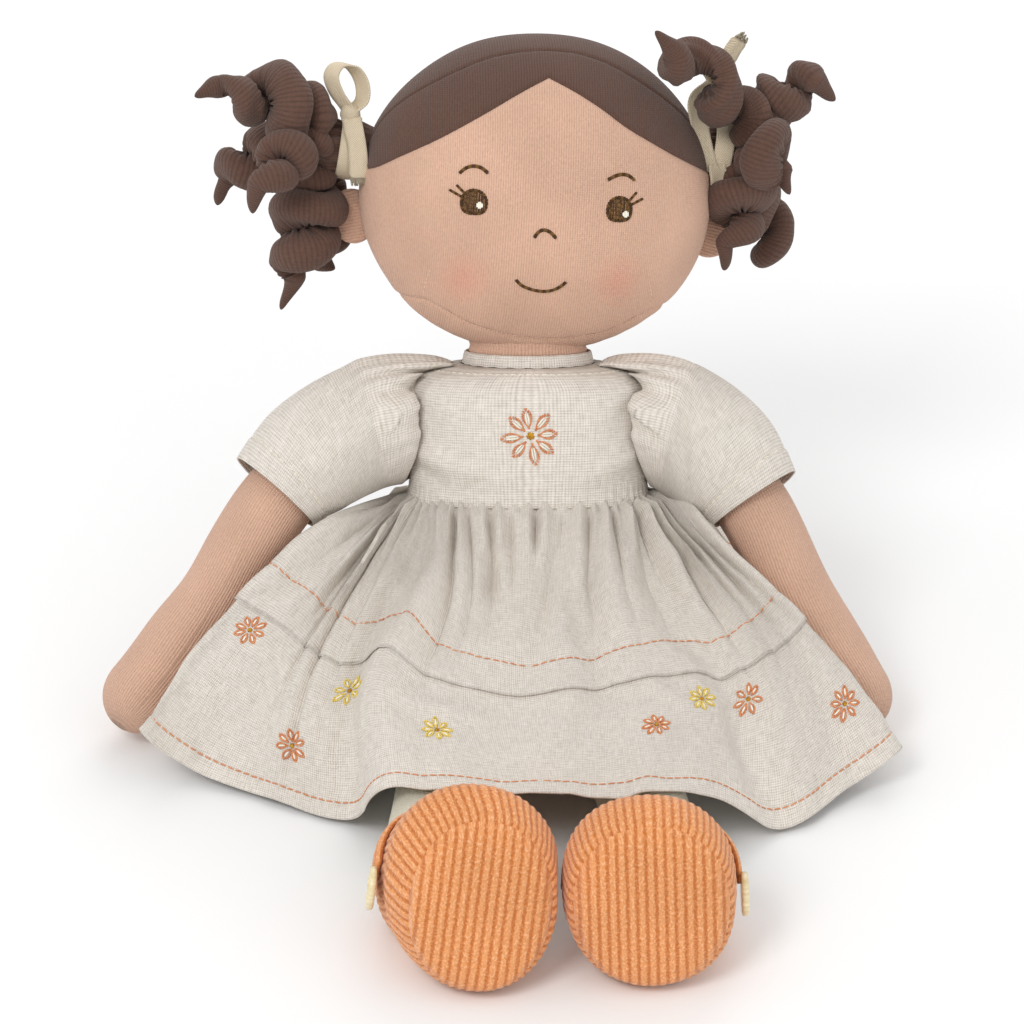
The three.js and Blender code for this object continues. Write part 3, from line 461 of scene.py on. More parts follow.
class Nodes:
    """Short ways to add and join shader nodes."""

    def __init__(self, tree):
        self.tree = tree

    def add(self, kind, inputs=(), **settings):
        made = self.tree.nodes.new("ShaderNode" + kind)
        for key, value in settings.items():
            setattr(made, key, value)
        for key, value in dict(inputs).items():
            if isinstance(value, bpy.types.NodeSocket):
                self.tree.links.new(value, made.inputs[key])
            else:
                made.inputs[key].default_value = value
        return made

    def part(self, vector):
        """The x and y of a vector."""
        return self.add("SeparateXYZ", {0: vector}).outputs[:2]

    def math(self, operation, *values):
        return self.add("Math", enumerate(values), operation=operation).outputs[0]

    def mix(self, factor, a, b, blend="MIX"):
        return self.add("Mix", {0: factor, 6: a, 7: b}, data_type="RGBA", blend_type=blend).outputs[2]

    def stretch(self, vector, scale):
        return self.add("VectorMath", {0: vector, 1: scale}, operation="MULTIPLY").outputs[0]

    def noise(self, vector, scale, detail=2.0, roughness=0.5):
        settings = {"Vector": vector, "Scale": scale, "Detail": detail, "Roughness": roughness}
        return self.add("TexNoise", settings).outputs["Fac"]

    def fit(self, value, low, high, to_low, to_high):
        places = {"Value": value, "From Min": low, "From Max": high, "To Min": to_low, "To Max": to_high}
        return self.add("MapRange", places).outputs["Result"]


def shared(name, inputs, outputs, build):
    """A node group that is made once. Inputs are names and usual values: none for a place."""
    found = bpy.data.node_groups.get(name)
    if found:
        return found
    tree = bpy.data.node_groups.new(name, "ShaderNodeTree")
    for label, usual in inputs.items():
        kind = "Vector" if usual is None else "Color" if isinstance(usual, tuple) else "Float"
        socket = tree.interface.new_socket(label, in_out="INPUT", socket_type="NodeSocket" + kind)
        if usual is not None:
            socket.default_value = usual
    for label in outputs:
        kind = "Color" if label == "Colour" else "Float"
        tree.interface.new_socket(label, in_out="OUTPUT", socket_type="NodeSocket" + kind)
    entry, leave = tree.nodes.new("NodeGroupInput"), tree.nodes.new("NodeGroupOutput")
    for label, value in build(Nodes(tree), entry.outputs).items():
        tree.links.new(value, leave.inputs[label])
    return tree


def knit_group():
    """Wales of knitted loops, each loop a small slanted stitch."""

    def build(n, given):
        x, y = n.part(given["Place"])
        wander = n.math("MULTIPLY_ADD", n.noise(given["Place"], 70.0), 0.8, -0.4)
        phase = n.math("ADD", n.math("DIVIDE", x, given["Wale"]), wander)
        wale = n.math("ABSOLUTE", n.math("SINE", n.math("MULTIPLY", phase, math.pi)))
        slant = n.math("PINGPONG", phase, 0.5)
        rise = n.math("ADD", n.math("DIVIDE", y, given["Course"]), slant)
        loop = n.math("SINE", n.math("MULTIPLY", rise, TURN))
        height = n.math("MULTIPLY", wale, n.math("MULTIPLY_ADD", loop, 0.22, 0.78))
        # Furrow is high between the wales, where the jersey is given painted shade.
        return {"Height": height, "Furrow": n.math("SUBTRACT", 1.0, n.math("POWER", wale, 0.6))}

    sockets = {"Place": None, "Wale": 0.8 * MM, "Course": 0.7 * MM}
    return shared("knit", sockets, ["Height", "Furrow"], build)


def weave_group():
    """Plain weave with slubs: thicker and thinner threads running both ways."""

    def build(n, given):
        x, y = n.part(given["Place"])
        rate = n.math("DIVIDE", math.pi, given["Thread"])
        wander = n.math("MULTIPLY_ADD", n.noise(given["Place"], 160.0), 1.6, -0.8)
        warp = n.math("SINE", n.math("MULTIPLY_ADD", x, rate, wander))
        weft = n.math("SINE", n.math("MULTIPLY_ADD", y, rate, wander))
        over = n.math("MULTIPLY_ADD", n.math("MULTIPLY", warp, weft), 0.5, 0.5)
        raised = n.math("MULTIPLY", n.math("ABSOLUTE", warp), over)
        under = n.math("MULTIPLY", n.math("ABSOLUTE", weft), n.math("SUBTRACT", 1.0, over))
        weave = n.math("ADD", raised, under)
        long_way = n.noise(n.stretch(given["Place"], (1500.0, 190.0, 1.0)), 1.0, 1.0)
        cross_way = n.noise(n.stretch(given["Place"], (190.0, 1500.0, 1.0)), 1.0, 1.0)
        slub = n.math("MULTIPLY", n.math("ADD", long_way, cross_way), 0.5)
        height = n.math("ADD", weave, n.math("MULTIPLY", slub, 0.8))
        # Tone is high on the raised threads, for painted light and shade, and also follows the slubs.
        tone = n.math("ADD", n.math("MULTIPLY", weave, 0.5), n.math("MULTIPLY", slub, 1.0))
        return {"Height": height, "Tone": tone}

    return shared("weave", {"Place": None, "Thread": 0.8 * MM}, ["Height", "Tone"], build)


def mottle_group():
    """Slow and quick changes of tone over a colour."""

    def build(n, given):
        slow = n.noise(given["Place"], 28.0, 3.0)
        quick = n.noise(given["Place"], 900.0, 2.0, 0.6)
        sum_of = n.math("ADD", n.math("MULTIPLY", slow, 0.6), n.math("MULTIPLY", quick, 0.4))
        tone = n.fit(sum_of, 0.3, 0.7, 0.55, 1.25)
        return {"Colour": n.mix(given["Amount"], given["Colour"], tone, "MULTIPLY")}

    return shared("mottle", {"Colour": (1, 1, 1, 1), "Place": None, "Amount": 0.3}, ["Colour"], build)


def fuzz_group():
    """Short fibres standing off the surface, as a fine height."""

    def build(n, given):
        fine = n.noise(n.stretch(given["Place"], (1.0, 0.5, 1.0)), 2600.0, 3.0, 0.7)
        return {"Height": fine}

    return shared("fuzz", {"Place": None}, ["Height"], build)


def twist_group():
    """Plies of a sewing thread, slanting round it."""

    def build(n, given):
        x, y = n.part(given["Place"])
        run = n.math("DIVIDE", x, 0.55 * MM)
        ply = n.math("SINE", n.math("MULTIPLY", n.math("ADD", run, y), TURN))
        return {"Height": n.math("MULTIPLY_ADD", ply, 0.5, 0.5)}

    return shared("twist", {"Place": None}, ["Height"], build)


def cord_group():
    """Corduroy: pile on the wales, a bare furrow between them and short cross tufts."""

    def build(n, given):
        x, y = n.part(given["Place"])
        wale = n.math("COSINE", n.math("MULTIPLY", n.math("DIVIDE", x, given["Wale"]), TURN))
        crest = n.math("MULTIPLY_ADD", wale, 0.5, 0.5)
        wander = n.noise(given["Place"], 520.0, 2.0)
        row = n.math("ADD", n.math("DIVIDE", y, 1.2 * MM), n.math("MULTIPLY", wander, 4.5))
        tuft = n.math("ABSOLUTE", n.math("SINE", n.math("MULTIPLY", row, math.pi)))
        pile = n.noise(n.stretch(given["Place"], (1.0, 0.7, 1.0)), 1500.0, 3.0, 0.7)
        height = n.math("ADD", n.math("MULTIPLY", tuft, 0.3), n.math("MULTIPLY", pile, 1.3))
        return {"Crest": crest, "Height": height, "Pile": pile}

    return shared("cord", {"Place": None, "Wale": 2.9 * MM}, ["Crest", "Height", "Pile"], build)


def blank(name):
    """A new material with its nodes, its shader and the cloth's coordinates."""
    made = bpy.data.materials.new(name)
    made.use_nodes = True
    made.node_tree.nodes.clear()
    n = Nodes(made.node_tree)
    shader = n.add("BsdfPrincipled", {"Roughness": 0.9, "Specular IOR Level": 0.25})
    out = n.add("OutputMaterial")
    made.node_tree.links.new(shader.outputs[0], out.inputs[0])
    return made, n, shader, n.add("UVMap", uv_map="cloth").outputs["UV"]


def finish_with(made, n, shader, colour, height, depth, **plain):
    """Joins colour and relief to the shader and sets its plain values."""
    bump = n.add("Bump", {"Height": height, "Strength": 1.0, "Distance": depth})
    made.node_tree.links.new(colour, shader.inputs["Base Color"])
    made.node_tree.links.new(bump.outputs[0], shader.inputs["Normal"])
    for label, value in plain.items():
        shader.inputs[label.replace("_", " ").title()].default_value = value
    return made


def mottled(n, colour, place, amount):
    """The colour with slow and quick changes of tone."""
    settings = {"Colour": colour, "Place": place, "Amount": amount}
    return n.add("Group", settings, node_tree=mottle_group()).outputs["Colour"]


def jersey(name, colour, furrow, wale, course, depth, blush=()):
    """Knitted jersey with flecks, fuzz and painted shade in the furrows between its wales. A blush is a
    place, how far it reaches and its tint.
    """
    made, n, shader, place = blank(name)
    knit = n.add("Group", {"Place": place, "Wale": wale, "Course": course}, node_tree=knit_group())
    # Painted shade: the furrow colour darkens the jersey between the wales.
    base = n.mix(n.math("MULTIPLY", knit.outputs["Furrow"], 0.75), (*colour, 1), (*furrow, 1))
    for (x, z), reach, tint in blush:
        away = n.add("VectorMath", {0: place, 1: (x, z, 0)}, operation="DISTANCE").outputs["Value"]
        soft = n.noise(place, 160.0, 2.0)
        mask = n.fit(n.math("MULTIPLY_ADD", soft, 3 * MM, away), 2 * MM, reach, 0.34, 0.0)
        base = n.mix(mask, base, (*tint, 1))
    flecks = n.fit(n.noise(n.stretch(place, (1.0, 0.45, 1.0)), 1500.0, 2.0, 0.7), 0.38, 0.62, 0.0, 1.0)
    base = n.mix(n.math("MULTIPLY", flecks, 0.2), base, (*(min(1.0, 1.25 * c + 0.02) for c in colour), 1))
    toned = mottled(n, base, place, 0.42)
    fuzz = n.add("Group", {"Place": place}, node_tree=fuzz_group()).outputs["Height"]
    height = n.math("MULTIPLY_ADD", fuzz, 0.35, knit.outputs["Height"])
    return finish_with(made, n, shader, toned, height, depth, sheen_weight=0.12, sheen_roughness=0.6)


def woven(name, colour, shade, thread, depth):
    """Plain woven linen: painted light on the raised threads and painted shade where the weave sinks,
    streaked along the slubs.
    """
    made, n, shader, place = blank(name)
    weave = n.add("Group", {"Place": place, "Thread": thread}, node_tree=weave_group())
    # Painted light on the raised threads and painted shade in the weave's hollows, with the slubs' own
    # streaks of tone.
    light = n.fit(weave.outputs["Tone"], 0.45, 1.05, 0.0, 1.0)
    base = n.mix(light, (*shade, 1), (*colour, 1))
    toned = mottled(n, base, place, 0.12)
    height = weave.outputs["Height"]
    return finish_with(made, n, shader, toned, height, depth, sheen_weight=0.08, sheen_roughness=0.5)


def twill(name, colour, shade):
    """Tape with slanting ribs and painted shade between them."""
    made, n, shader, place = blank(name)
    x, y = n.part(place)
    slope = n.math("ADD", x, n.math("ABSOLUTE", y))
    rib = n.math("SINE", n.math("MULTIPLY", slope, TURN / (0.75 * MM)))
    height = n.math("MULTIPLY_ADD", rib, 0.5, 0.5)
    # Painted shade: the tape is darker between its ribs.
    base = n.mix(height, (*shade, 1), (*colour, 1))
    toned = mottled(n, base, place, 0.25)
    return finish_with(made, n, shader, toned, height, 0.16 * MM, sheen_weight=0.1)


def corduroy(name, crest, furrow, wale):
    """Corduroy with painted shade in the furrows and paler flecks on the crests."""
    made, n, shader, place = blank(name)
    cord = n.add("Group", {"Place": place, "Wale": wale}, node_tree=cord_group())
    dashes = n.math("MULTIPLY_ADD", cord.outputs["Height"], 0.9, -0.75)
    high = n.fit(n.math("ADD", cord.outputs["Crest"], dashes), 0.02, 0.55, 0.0, 1.0)
    # Painted shade: the colour darkens from the crests into the furrows.
    base = n.mix(high, (*furrow, 1), (*crest, 1))
    # Paler flecks where the pile noise is high, most on the crests.
    pale_tips = n.fit(cord.outputs["Pile"], 0.49, 0.62, 0.0, 0.9)
    pale_tips = n.math("MULTIPLY", pale_tips, n.fit(cord.outputs["Crest"], 0.15, 0.7, 0.2, 1.0))
    tipped = n.mix(pale_tips, base, (*(min(1.0, c * 1.15 + 0.16) for c in crest), 1))
    toned = mottled(n, tipped, place, 0.3)
    height = cord.outputs["Height"]
    return finish_with(made, n, shader, toned, height, 0.4 * MM, sheen_weight=0.35, sheen_roughness=0.4)


def thread(name, colour, deep):
    """Plied sewing thread, with painted shade between the plies. Each stitch has its own tone."""
    made, n, shader, place = blank(name)
    ply = n.add("Group", {"Place": place}, node_tree=twist_group()).outputs["Height"]
    tone = n.add("Attribute", attribute_name="tone").outputs["Fac"]
    # The tone gives each stitch its own colour of thread; the plies add painted light on their crests and
    # painted shade between them.
    light = n.math("MULTIPLY_ADD", ply, 0.35, n.math("MULTIPLY", tone, 0.8))
    base = n.mix(light, (*deep, 1), (*colour, 1))
    return finish_with(made, n, shader, base, ply, 0.08 * MM, roughness=0.55)


def moulded(name, colour, shade):
    """Cast button stock with a faint grain, polished."""
    made, n, shader, place = blank(name)
    grain = n.noise(n.stretch(place, (120.0, 900.0, 1.0)), 1.0, 3.0, 0.6)
    base = n.mix(n.fit(grain, 0.35, 0.65, 0.0, 1.0), (*shade, 1), (*colour, 1))
    return finish_with(made, n, shader, base, grain, 0.03 * MM, roughness=0.3, coat_weight=0.4)


FINISHES = {
    "face_jersey": lambda s: jersey(
        "face_jersey", s.skin, s.skin_furrow_shade, s.face_wale, 0.75 * MM, 0.16 * MM,
        blush=[((-27.5 * MM, -28 * MM), 13 * MM, s.blush), ((27.5 * MM, -26.5 * MM), 13 * MM, s.blush)],
    ),
    "skin_jersey": lambda s: jersey("skin_jersey", s.skin, s.skin_furrow_shade, 1.05 * MM, 0.9 * MM, 0.25 * MM),
    "hair_jersey": lambda s: jersey("hair_jersey", s.hair, s.hair_furrow_shade, 0.95 * MM, 0.8 * MM, 0.25 * MM),
    "curl_jersey": lambda s: jersey("curl_jersey", s.hair, s.hair_furrow_shade, 0.85 * MM, 1.1 * MM, 0.22 * MM),
    "tights_rib": lambda s: jersey("tights_rib", s.tights, s.tights_furrow_shade, 1.0 * MM, 1.4 * MM, 0.3 * MM),
    "dress_linen": lambda s: woven("dress_linen", s.linen, s.linen_shade, s.linen_thread, 0.25 * MM),
    "tape_twill": lambda s: twill("tape_twill", s.tape, s.tape_shade),
    "shoe_corduroy": lambda s: corduroy("shoe_corduroy", s.corduroy, s.corduroy_furrow_shade, s.wale),
    "brown_thread": lambda s: thread("brown_thread", srgb(126, 90, 42), srgb(48, 28, 16)),
    "orange_thread": lambda s: thread("orange_thread", srgb(226, 156, 110), srgb(200, 118, 72)),
    "yellow_thread": lambda s: thread("yellow_thread", srgb(240, 218, 128), srgb(212, 178, 62)),
    "cream_thread": lambda s: thread("cream_thread", srgb(250, 246, 232), srgb(226, 216, 190)),
    "skin_thread": lambda s: thread("skin_thread", srgb(244, 212, 190), srgb(222, 184, 160)),
    "gold_thread": lambda s: thread("gold_thread", srgb(214, 158, 40), srgb(116, 72, 18)),
    "button_ivory": lambda s: moulded("button_ivory", s.button, s.button_shade),
}


def material(name):
    """The named finish, made on its first use."""
    return bpy.data.materials.get(name) or FINISHES[name](bpy.context.scene.doll_colours)


class DollColours(bpy.types.PropertyGroup):
    """Colours of the cloths and trims, and the pitch of their patterns."""

    def colour(label, note, value):
        return bpy.props.FloatVectorProperty(
            name=label, description=note, size=3, subtype="COLOR", min=0, max=1, default=value,
        )

    skin: colour("Skin", "Jersey of face, neck, arms and ears", srgb(216, 176, 152))
    # Painted shade between the wales of the skin jersey.
    skin_furrow_shade: colour("Skin furrow", "Between the wales of the skin jersey", srgb(180, 137, 114))
    blush: colour("Blush", "Tint on the cheeks", srgb(222, 130, 112))
    hair: colour("Hair", "Jersey of the cap and the curls", srgb(97, 69, 57))
    # Painted shade between the wales of the hair jersey.
    hair_furrow_shade: colour("Hair furrow", "Between the wales of the hair jersey", srgb(68, 48, 39))
    # The two linen colours are painted light on the raised threads and painted shade in the weave's hollows,
    # not two kinds of thread.
    linen: colour("Linen", "Light threads of the dress", srgb(238, 231, 222))
    linen_shade: colour("Linen shade", "Dark threads of the dress", srgb(194, 185, 173))
    tape: colour("Tape", "Ribs of the hair ties", srgb(242, 227, 200))
    tape_shade: colour("Tape shade", "Between the ribs of the hair ties", srgb(208, 190, 160))
    tights: colour("Tights", "Rib of the legs", srgb(226, 219, 199))
    # Painted shade between the ribs of the legs.
    tights_furrow_shade: colour("Tights furrow", "Between the ribs of the legs", srgb(184, 177, 154))
    corduroy: colour("Corduroy", "Crests of the shoes' wales", srgb(233, 157, 98))
    # Painted shade in the furrows between the shoes' wales.
    corduroy_furrow_shade: colour("Corduroy furrow", "Between the shoes' wales", srgb(202, 117, 58))
    button: colour("Button", "Light grain of the buttons", srgb(240, 230, 196))
    button_shade: colour("Button shade", "Dark grain of the buttons", srgb(216, 198, 150))
    face_wale: bpy.props.FloatProperty(
        name="Face wale", description="Width of a wale of the face's jersey",
        default=0.85 * MM, min=0.3 * MM, unit="LENGTH",
    )
    linen_thread: bpy.props.FloatProperty(
        name="Linen thread", description="Pitch of the linen's threads",
        default=0.85 * MM, min=0.2 * MM, unit="LENGTH",
    )
    wale: bpy.props.FloatProperty(
        name="Wale", description="Width of a wale of the shoes' corduroy",
        default=2.9 * MM, min=1 * MM, unit="LENGTH",
    )


class DollSizes(bpy.types.PropertyGroup):
    """Sizes of the stitching, gathers and folds."""

    def size(label, note, value):
        return bpy.props.FloatProperty(name=label, description=note, default=value, min=0, unit="LENGTH")

    seam_depth: size("Seam depth", "How far the head's seams sink in", 0.5 * MM)
    seam_width: size("Seam width", "Half width of a seam's groove", 0.65 * MM)
    lump: size("Lump", "Unevenness of the stuffing", 0.45 * MM)
    wrinkle: size("Wrinkle", "Height of the ruching inside a curl", 0.9 * MM)
    gather: size("Gather", "Height of the gathers at the waist", 3.5 * MM)
    fold: size("Fold", "Height of the skirt's folds", 2.2 * MM)
    tuck: size("Tuck", "How far the tuck stands off the skirt", 1.1 * MM)
    stitch: size("Stitch", "Length of a running stitch", 2.4 * MM)
    stitch_gap: size("Stitch gap", "Cloth between two running stitches", 0.5 * MM)
    thread_radius: size("Thread", "Radius of the embroidery thread", 0.3 * MM)
    cord_relief: size("Corduroy relief", "Height of the shoes' wales", 0.2 * MM)


# Head


def head_surface(ways, lift=0.0):
    """Places on the stuffed head, in its own axes, for each direction from its centre."""
    x, y, z = np.moveaxis(np.asarray(ways, float), -1, 0)
    low = np.maximum(0, -z)
    here = np.stack([x * (1 + jaw_share * low * low), y, z], -1) * head_half
    facing = unit(np.stack([x, y, z], -1) / head_half)
    lump = bpy.context.scene.doll_sizes.lump
    swell = lump * (0.6 * drift(3, 4, 2.6 * x, 2.4 * y, 2.5 * z) + 0.25 * drift(4, 4, 6 * x, 6 * y, 6 * z))
    return here + facing * (swell + lift)[..., None]


def head_front(x, z, lift=0.0):
    """Places on the front of the head above points (x, z) seen from the front."""
    x, z = np.asarray(x, float), np.asarray(z, float)
    up = z / head_half[2]
    low = np.maximum(0, -up)
    out = x / (head_half[0] * (1 + jaw_share * low * low))
    back = -np.sqrt(np.maximum(1 - out * out - up * up, 0))
    return head_world(head_surface(np.stack([out, back, up], -1), lift))


def head_world(points):
    """World places of points given from the middle of the head."""
    return head.at(points + np.array([0, 0, head_rise]))


def head_facing(x, z):
    """Which way the front of the head faces at x and z."""
    return facing_of(head_front, np.asarray(x, float), np.asarray(z, float), 0.5 * MM, -0.5 * MM)


# Seams as seen from the front (x, z) and, for the crown, from the side (y, z), in mm from the centre
hairline_left = [(-66, 5), (-58.5, 6.3), (-48, 12), (-35.4, 19), (-22.7, 26.8), (-8.1, 35.9), (0, 40.3)]
hairline_right = [(0, 40.3), (8.5, 36.2), (16.9, 31.4), (26.8, 24.8), (36.1, 19.9), (45.4, 15.3), (66, 6.5)]
chin_seam = [(-70, -36), (-50, -36), (-38.5, -36), (-32.8, -38.2), (-22.2, -43.4), (-11.6, -46.4),
             (-0.4, -47.9), (13.2, -47.2), (22.5, -45.4), (28.3, -43.2), (35.9, -38.8), (45, -36), (70, -36)]
crown_seam = [(-120, 2.6), (5.4, 2.6), (19, -4.3), (43.2, -18.1), (65, -18.1)]
darts = [[(-36.4, -24.5), (-37.6, -29.5), (-37.9, -34.5)], [(36.6, -25.7), (38.3, -30.1), (39, -34.2)]]


def hairline(x):
    """How high the hairline runs at x."""
    left = smoothly(np.minimum(x, 0), np.array(hairline_left) * MM, 1)
    right = smoothly(np.maximum(x, 0), np.array(hairline_right) * MM, 1)
    return np.where(x < 0, left, right)


def seam_distances(points):
    """How far each place is behind the crown seam, above the hairline and above the chin seam."""
    x, y, z = points.T
    near = 0.5 * MM
    behind = y - smoothly(z, np.array(crown_seam) * MM, 1)
    above_hair = z - hairline(x)
    slope = (hairline(x + near) - hairline(x - near)) / (2 * near)
    chin = np.array(chin_seam) * MM
    above_chin = z - smoothly(x, chin, 1)
    chin_slope = (smoothly(x + near, chin, 1) - smoothly(x - near, chin, 1)) / (2 * near)
    return behind * 0.9, above_hair / np.hypot(1, slope), above_chin / np.hypot(1, chin_slope) * 0.85


def split(ways, faces, values):
    """Cuts the triangles where the values pass zero, and puts the new points on the sphere."""
    side = np.where(np.abs(values) < 1e-6, 0, np.sign(values))
    corner = side[faces]
    crossing = (corner.min(1) < 0) & (corner.max(1) > 0)
    kept = [faces[~crossing]]
    points, made, fresh = list(ways), {}, []

    def between(a, b):
        key = (min(a, b), max(a, b))
        if key not in made:
            share = values[a] / (values[a] - values[b])
            made[key] = len(points)
            points.append(unit(ways[a] * (1 - share) + ways[b] * share))
        return made[key]

    for face in faces[crossing]:
        signs = side[face]
        if 0 in signs:
            k = int(np.where(signs == 0)[0][0])
            a, b, c = np.roll(face, -k)
            m = between(b, c)
            fresh += [(a, b, m), (a, m, c)]
        else:
            k = next(i for i in range(3) if signs[i] != signs[i - 1] and signs[i] != signs[(i + 1) % 3])
            a, b, c = np.roll(face, -k)
            m, n = between(a, b), between(a, c)
            fresh += [(a, m, n), (m, b, c), (m, c, n)]
    if fresh:
        kept.append(np.array(fresh, int))
    return np.array(points), np.concatenate(kept)


def ball(count):
    """A sphere of even triangles, from the six faces of a cube."""
    step = np.tan(np.linspace(-math.pi / 4, math.pi / 4, count + 1))
    u, v = np.meshgrid(step, step, indexing="ij")
    one = np.ones_like(u)
    ways, faces = [], []
    for axis in range(3):
        for sign in (1, -1):
            sheet = np.stack(np.roll([one * sign, u, v * sign], axis, axis=0), -1)
            first = len(ways) * (count + 1) ** 2
            ways.append(unit(sheet).reshape(-1, 3))
            i, j = (k.ravel() for k in np.meshgrid(np.arange(count), np.arange(count), indexing="ij"))
            a = first + i * (count + 1) + j
            b, c, d = a + count + 1, a + count + 2, a + 1
            faces += [np.stack([a, b, c], -1), np.stack([a, c, d], -1)]
    ways, faces = np.concatenate(ways), np.concatenate(faces)
    keys, inverse = np.unique(np.round(ways, 6), axis=0, return_inverse=True)
    return keys, inverse.ravel()[faces]


def head_cloth(points):
    """The jersey's own coordinates on the head: wales run up it, evenly across."""
    w, _, h = head_half
    across = w * np.arcsin(np.clip(points[:, 0] / (1.02 * w * (1 + jaw_share)), -1, 1)) * 1.1
    up = h * np.arcsin(np.clip(points[:, 2] / (1.02 * h), -1, 1))
    return np.stack([across, up], -1)


def near_line(points, line):
    """Distance of each place to a short line drawn on the head."""
    corners = [
        head_surface(unit(np.array([x * MM, -0.45 * head_half[1], z * MM]) / head_half)[None], 0.0)[0]
        for x, z in line
    ]
    best = np.full(len(points), 1.0)
    for a, b in zip(corners, corners[1:]):
        t = np.clip(((points - a) @ (b - a)) / ((b - a) @ (b - a)), 0, 1)
        best = np.minimum(best, np.linalg.norm(points - a - t[:, None] * (b - a), axis=1))
    return best


class DOLL_OT_make_head(bpy.types.Operator):
    """Head: four jersey panels over the stuffing, seamed at the crown, the hairline and the chin"""

    bl_idname = "doll.make_head"
    bl_label = "Head panels"

    def execute(self, context):
        sizes = context.scene.doll_sizes
        ways, faces = ball(72)
        for which in range(3):
            for level in (0, 0.6, -0.6, 1.4, -1.4, 3.0, -3.0):
                distances = seam_distances(head_surface(ways, 0.0))
                distance = distances[which] - level * sizes.seam_width
                if which:
                    distance = distance + 4 * np.maximum(0, distances[0] - 1 * MM)
                ways, faces = split(ways, faces, distance)
        places = head_surface(ways, 0.0)
        behind, above_hair, above_chin = seam_distances(places)
        groove = mound(behind, 0, sizes.seam_width)
        front = behind < 1e-5
        for distance in (above_hair, above_chin):
            groove = np.maximum(groove, np.where(front, mound(distance, 0, sizes.seam_width), 0))
        for line in darts:
            groove = groove - 0.6 * mound(near_line(places, line), 0, 0.8 * sizes.seam_width)
        pucker = 0.12 * MM * np.sin(places[:, 0] / (1.1 * MM)) * mound(above_chin, 0, 4 * MM)
        shaped = head_surface(ways, pucker - sizes.seam_depth * groove)
        middle = places[faces].mean(1)
        is_back, in_hair, in_face = (value > 0 for value in seam_distances(middle))
        panels = {
            "hair_back_panel": (is_back, "hair_jersey", "jersey_hair"),
            "hair_front_panel": (~is_back & in_hair, "hair_jersey", "jersey_hair"),
            "face_panel": (~is_back & ~in_hair & in_face, "face_jersey", "jersey_skin"),
            "chin_panel": (~is_back & ~in_hair & ~in_face, "face_jersey", "jersey_skin"),
        }
        cloth = head_cloth(places)
        for name, (chosen, finish, slot) in panels.items():
            used, corners = np.unique(faces[chosen], return_inverse=True)
            form = Form()
            form.add_points(head_world(shaped[used]))
            form.add_faces(corners.reshape(-1, 3), cloth[faces[chosen]])
            stands_for = [name] + (["head_filling"] if name == "face_panel" else [])
            made = sew("jersey_" + name, form, finish, "head", stands_for, wall=0.8 * MM)
        return {"FINISHED"}


class DOLL_OT_make_ears(bpy.types.Operator):
    """Ears: small padded flaps caught in the side seams"""

    bl_idname = "doll.make_ears"
    bl_label = "Ears"

    def execute(self, context):
        rings, around = 14, 40
        angle = ring_angles(around)
        for label, side in sides.items():
            root = np.array([
                side * (head_half[0] + 1.4 * MM), 0.12 * head_half[1], head_rise - 0.2 * head_half[2],
            ])
            form = Form()
            for face in (-1, 1):
                q = np.sin(np.linspace(0, 1, rings) * math.pi / 2)[::-1]
                thick = np.sqrt(np.maximum(1 - q**2.4, 0))
                reach = 1 + 0.06 * np.cos(angle)
                x = ear_half[0] * q[:, None] * np.cos(angle) * reach
                z = ear_half[2] * q[:, None] * np.sin(angle)
                dent = 0.25 * mound(np.hypot(x / ear_half[0], z / ear_half[2]), 0.72, 0.16)
                y = face * ear_half[1] * (thick[:, None] * (1 - dent))
                rows = np.stack([x, y, z], -1)[:-1]
                local = rows @ turn_y(ear_tilt * side).T + root
                cloth = round_spots(z, x)[:-1]
                first = form.net(head.at(local), cloth, wrap=True, flip=face < 0)
                tip = np.array([0, face * ear_half[1], 0]) @ turn_y(ear_tilt * side).T + root
                last = first + (rings - 2) * around
                form.lid(last, around, head.at(tip), cloth[-1], np.zeros(2), flip=face < 0)
            name = f"{label}_ear"
            made = sew("padded_" + name, form, "skin_jersey", "head", [name])
        return {"FINISHED"}


# Embroidery of the face, in mm right and up from the head's centre as seen from the front
eye_half = (4.1, 3.9)
# How square the eye is below its middle: 2 is an oval
eye_base_power = 2.9
eyes = {
    "right": {"middle": (-23.85, -1.05), "glint": (-21.9, -2.0),
              "lashes": [((-31.8, 2.3), (-27.6, 0.2)), ((-29.6, 4.0), (-26.8, 1.4))]},
    "left": {"middle": (24.2, -1.5), "glint": (26.3, -3.1),
             "lashes": [((32.0, 2.0), (28.2, 0.0)), ((29.8, 4.0), (27.2, 1.0))]},
}
brows = [
    [(-28.8, 8.1), (-26.9, 9.8), (-24.4, 10.6), (-21.8, 10.1), (-19.8, 8.6)],
    [(19.9, 8.0), (21.9, 9.1), (24.0, 9.8), (26.8, 9.6), (28.9, 8.1)],
]
nose_line = [(-3.6, -11.6), (-2.6, -9.9), (-0.7, -9.0), (1.4, -9.7), (3.3, -11.5)]
mouth_line = [(-8.6, -26.4), (-6.8, -28.1), (-4.4, -29.1), (-2.0, -29.7), (0.6, -29.9), (3.0, -29.6),
              (5.2, -28.7), (6.8, -27.6), (7.9, -26.4)]


def head_threads(form, starts, ends, radius, tone, lift=0.0):
    """Stitches on the face between points (x, z) in mm."""
    a, b = np.asarray(starts, float) * MM, np.asarray(ends, float) * MM
    middle = (a + b) / 2
    facing = head_facing(middle[:, 0], middle[:, 1])
    form.threads(
        head_front(a[:, 0], a[:, 1], lift), head_front(b[:, 0], b[:, 1], lift), facing, radius, tone,
    )


def drawn(line, count):
    """Places along a line drawn on the face, and how far along each one is, in mm."""
    points = np.array(line, float)
    run = spline(np.column_stack([points, 0 * points[:, 0]]), np.linspace(0, 1, count))[:, :2]
    return run, run_along(run)


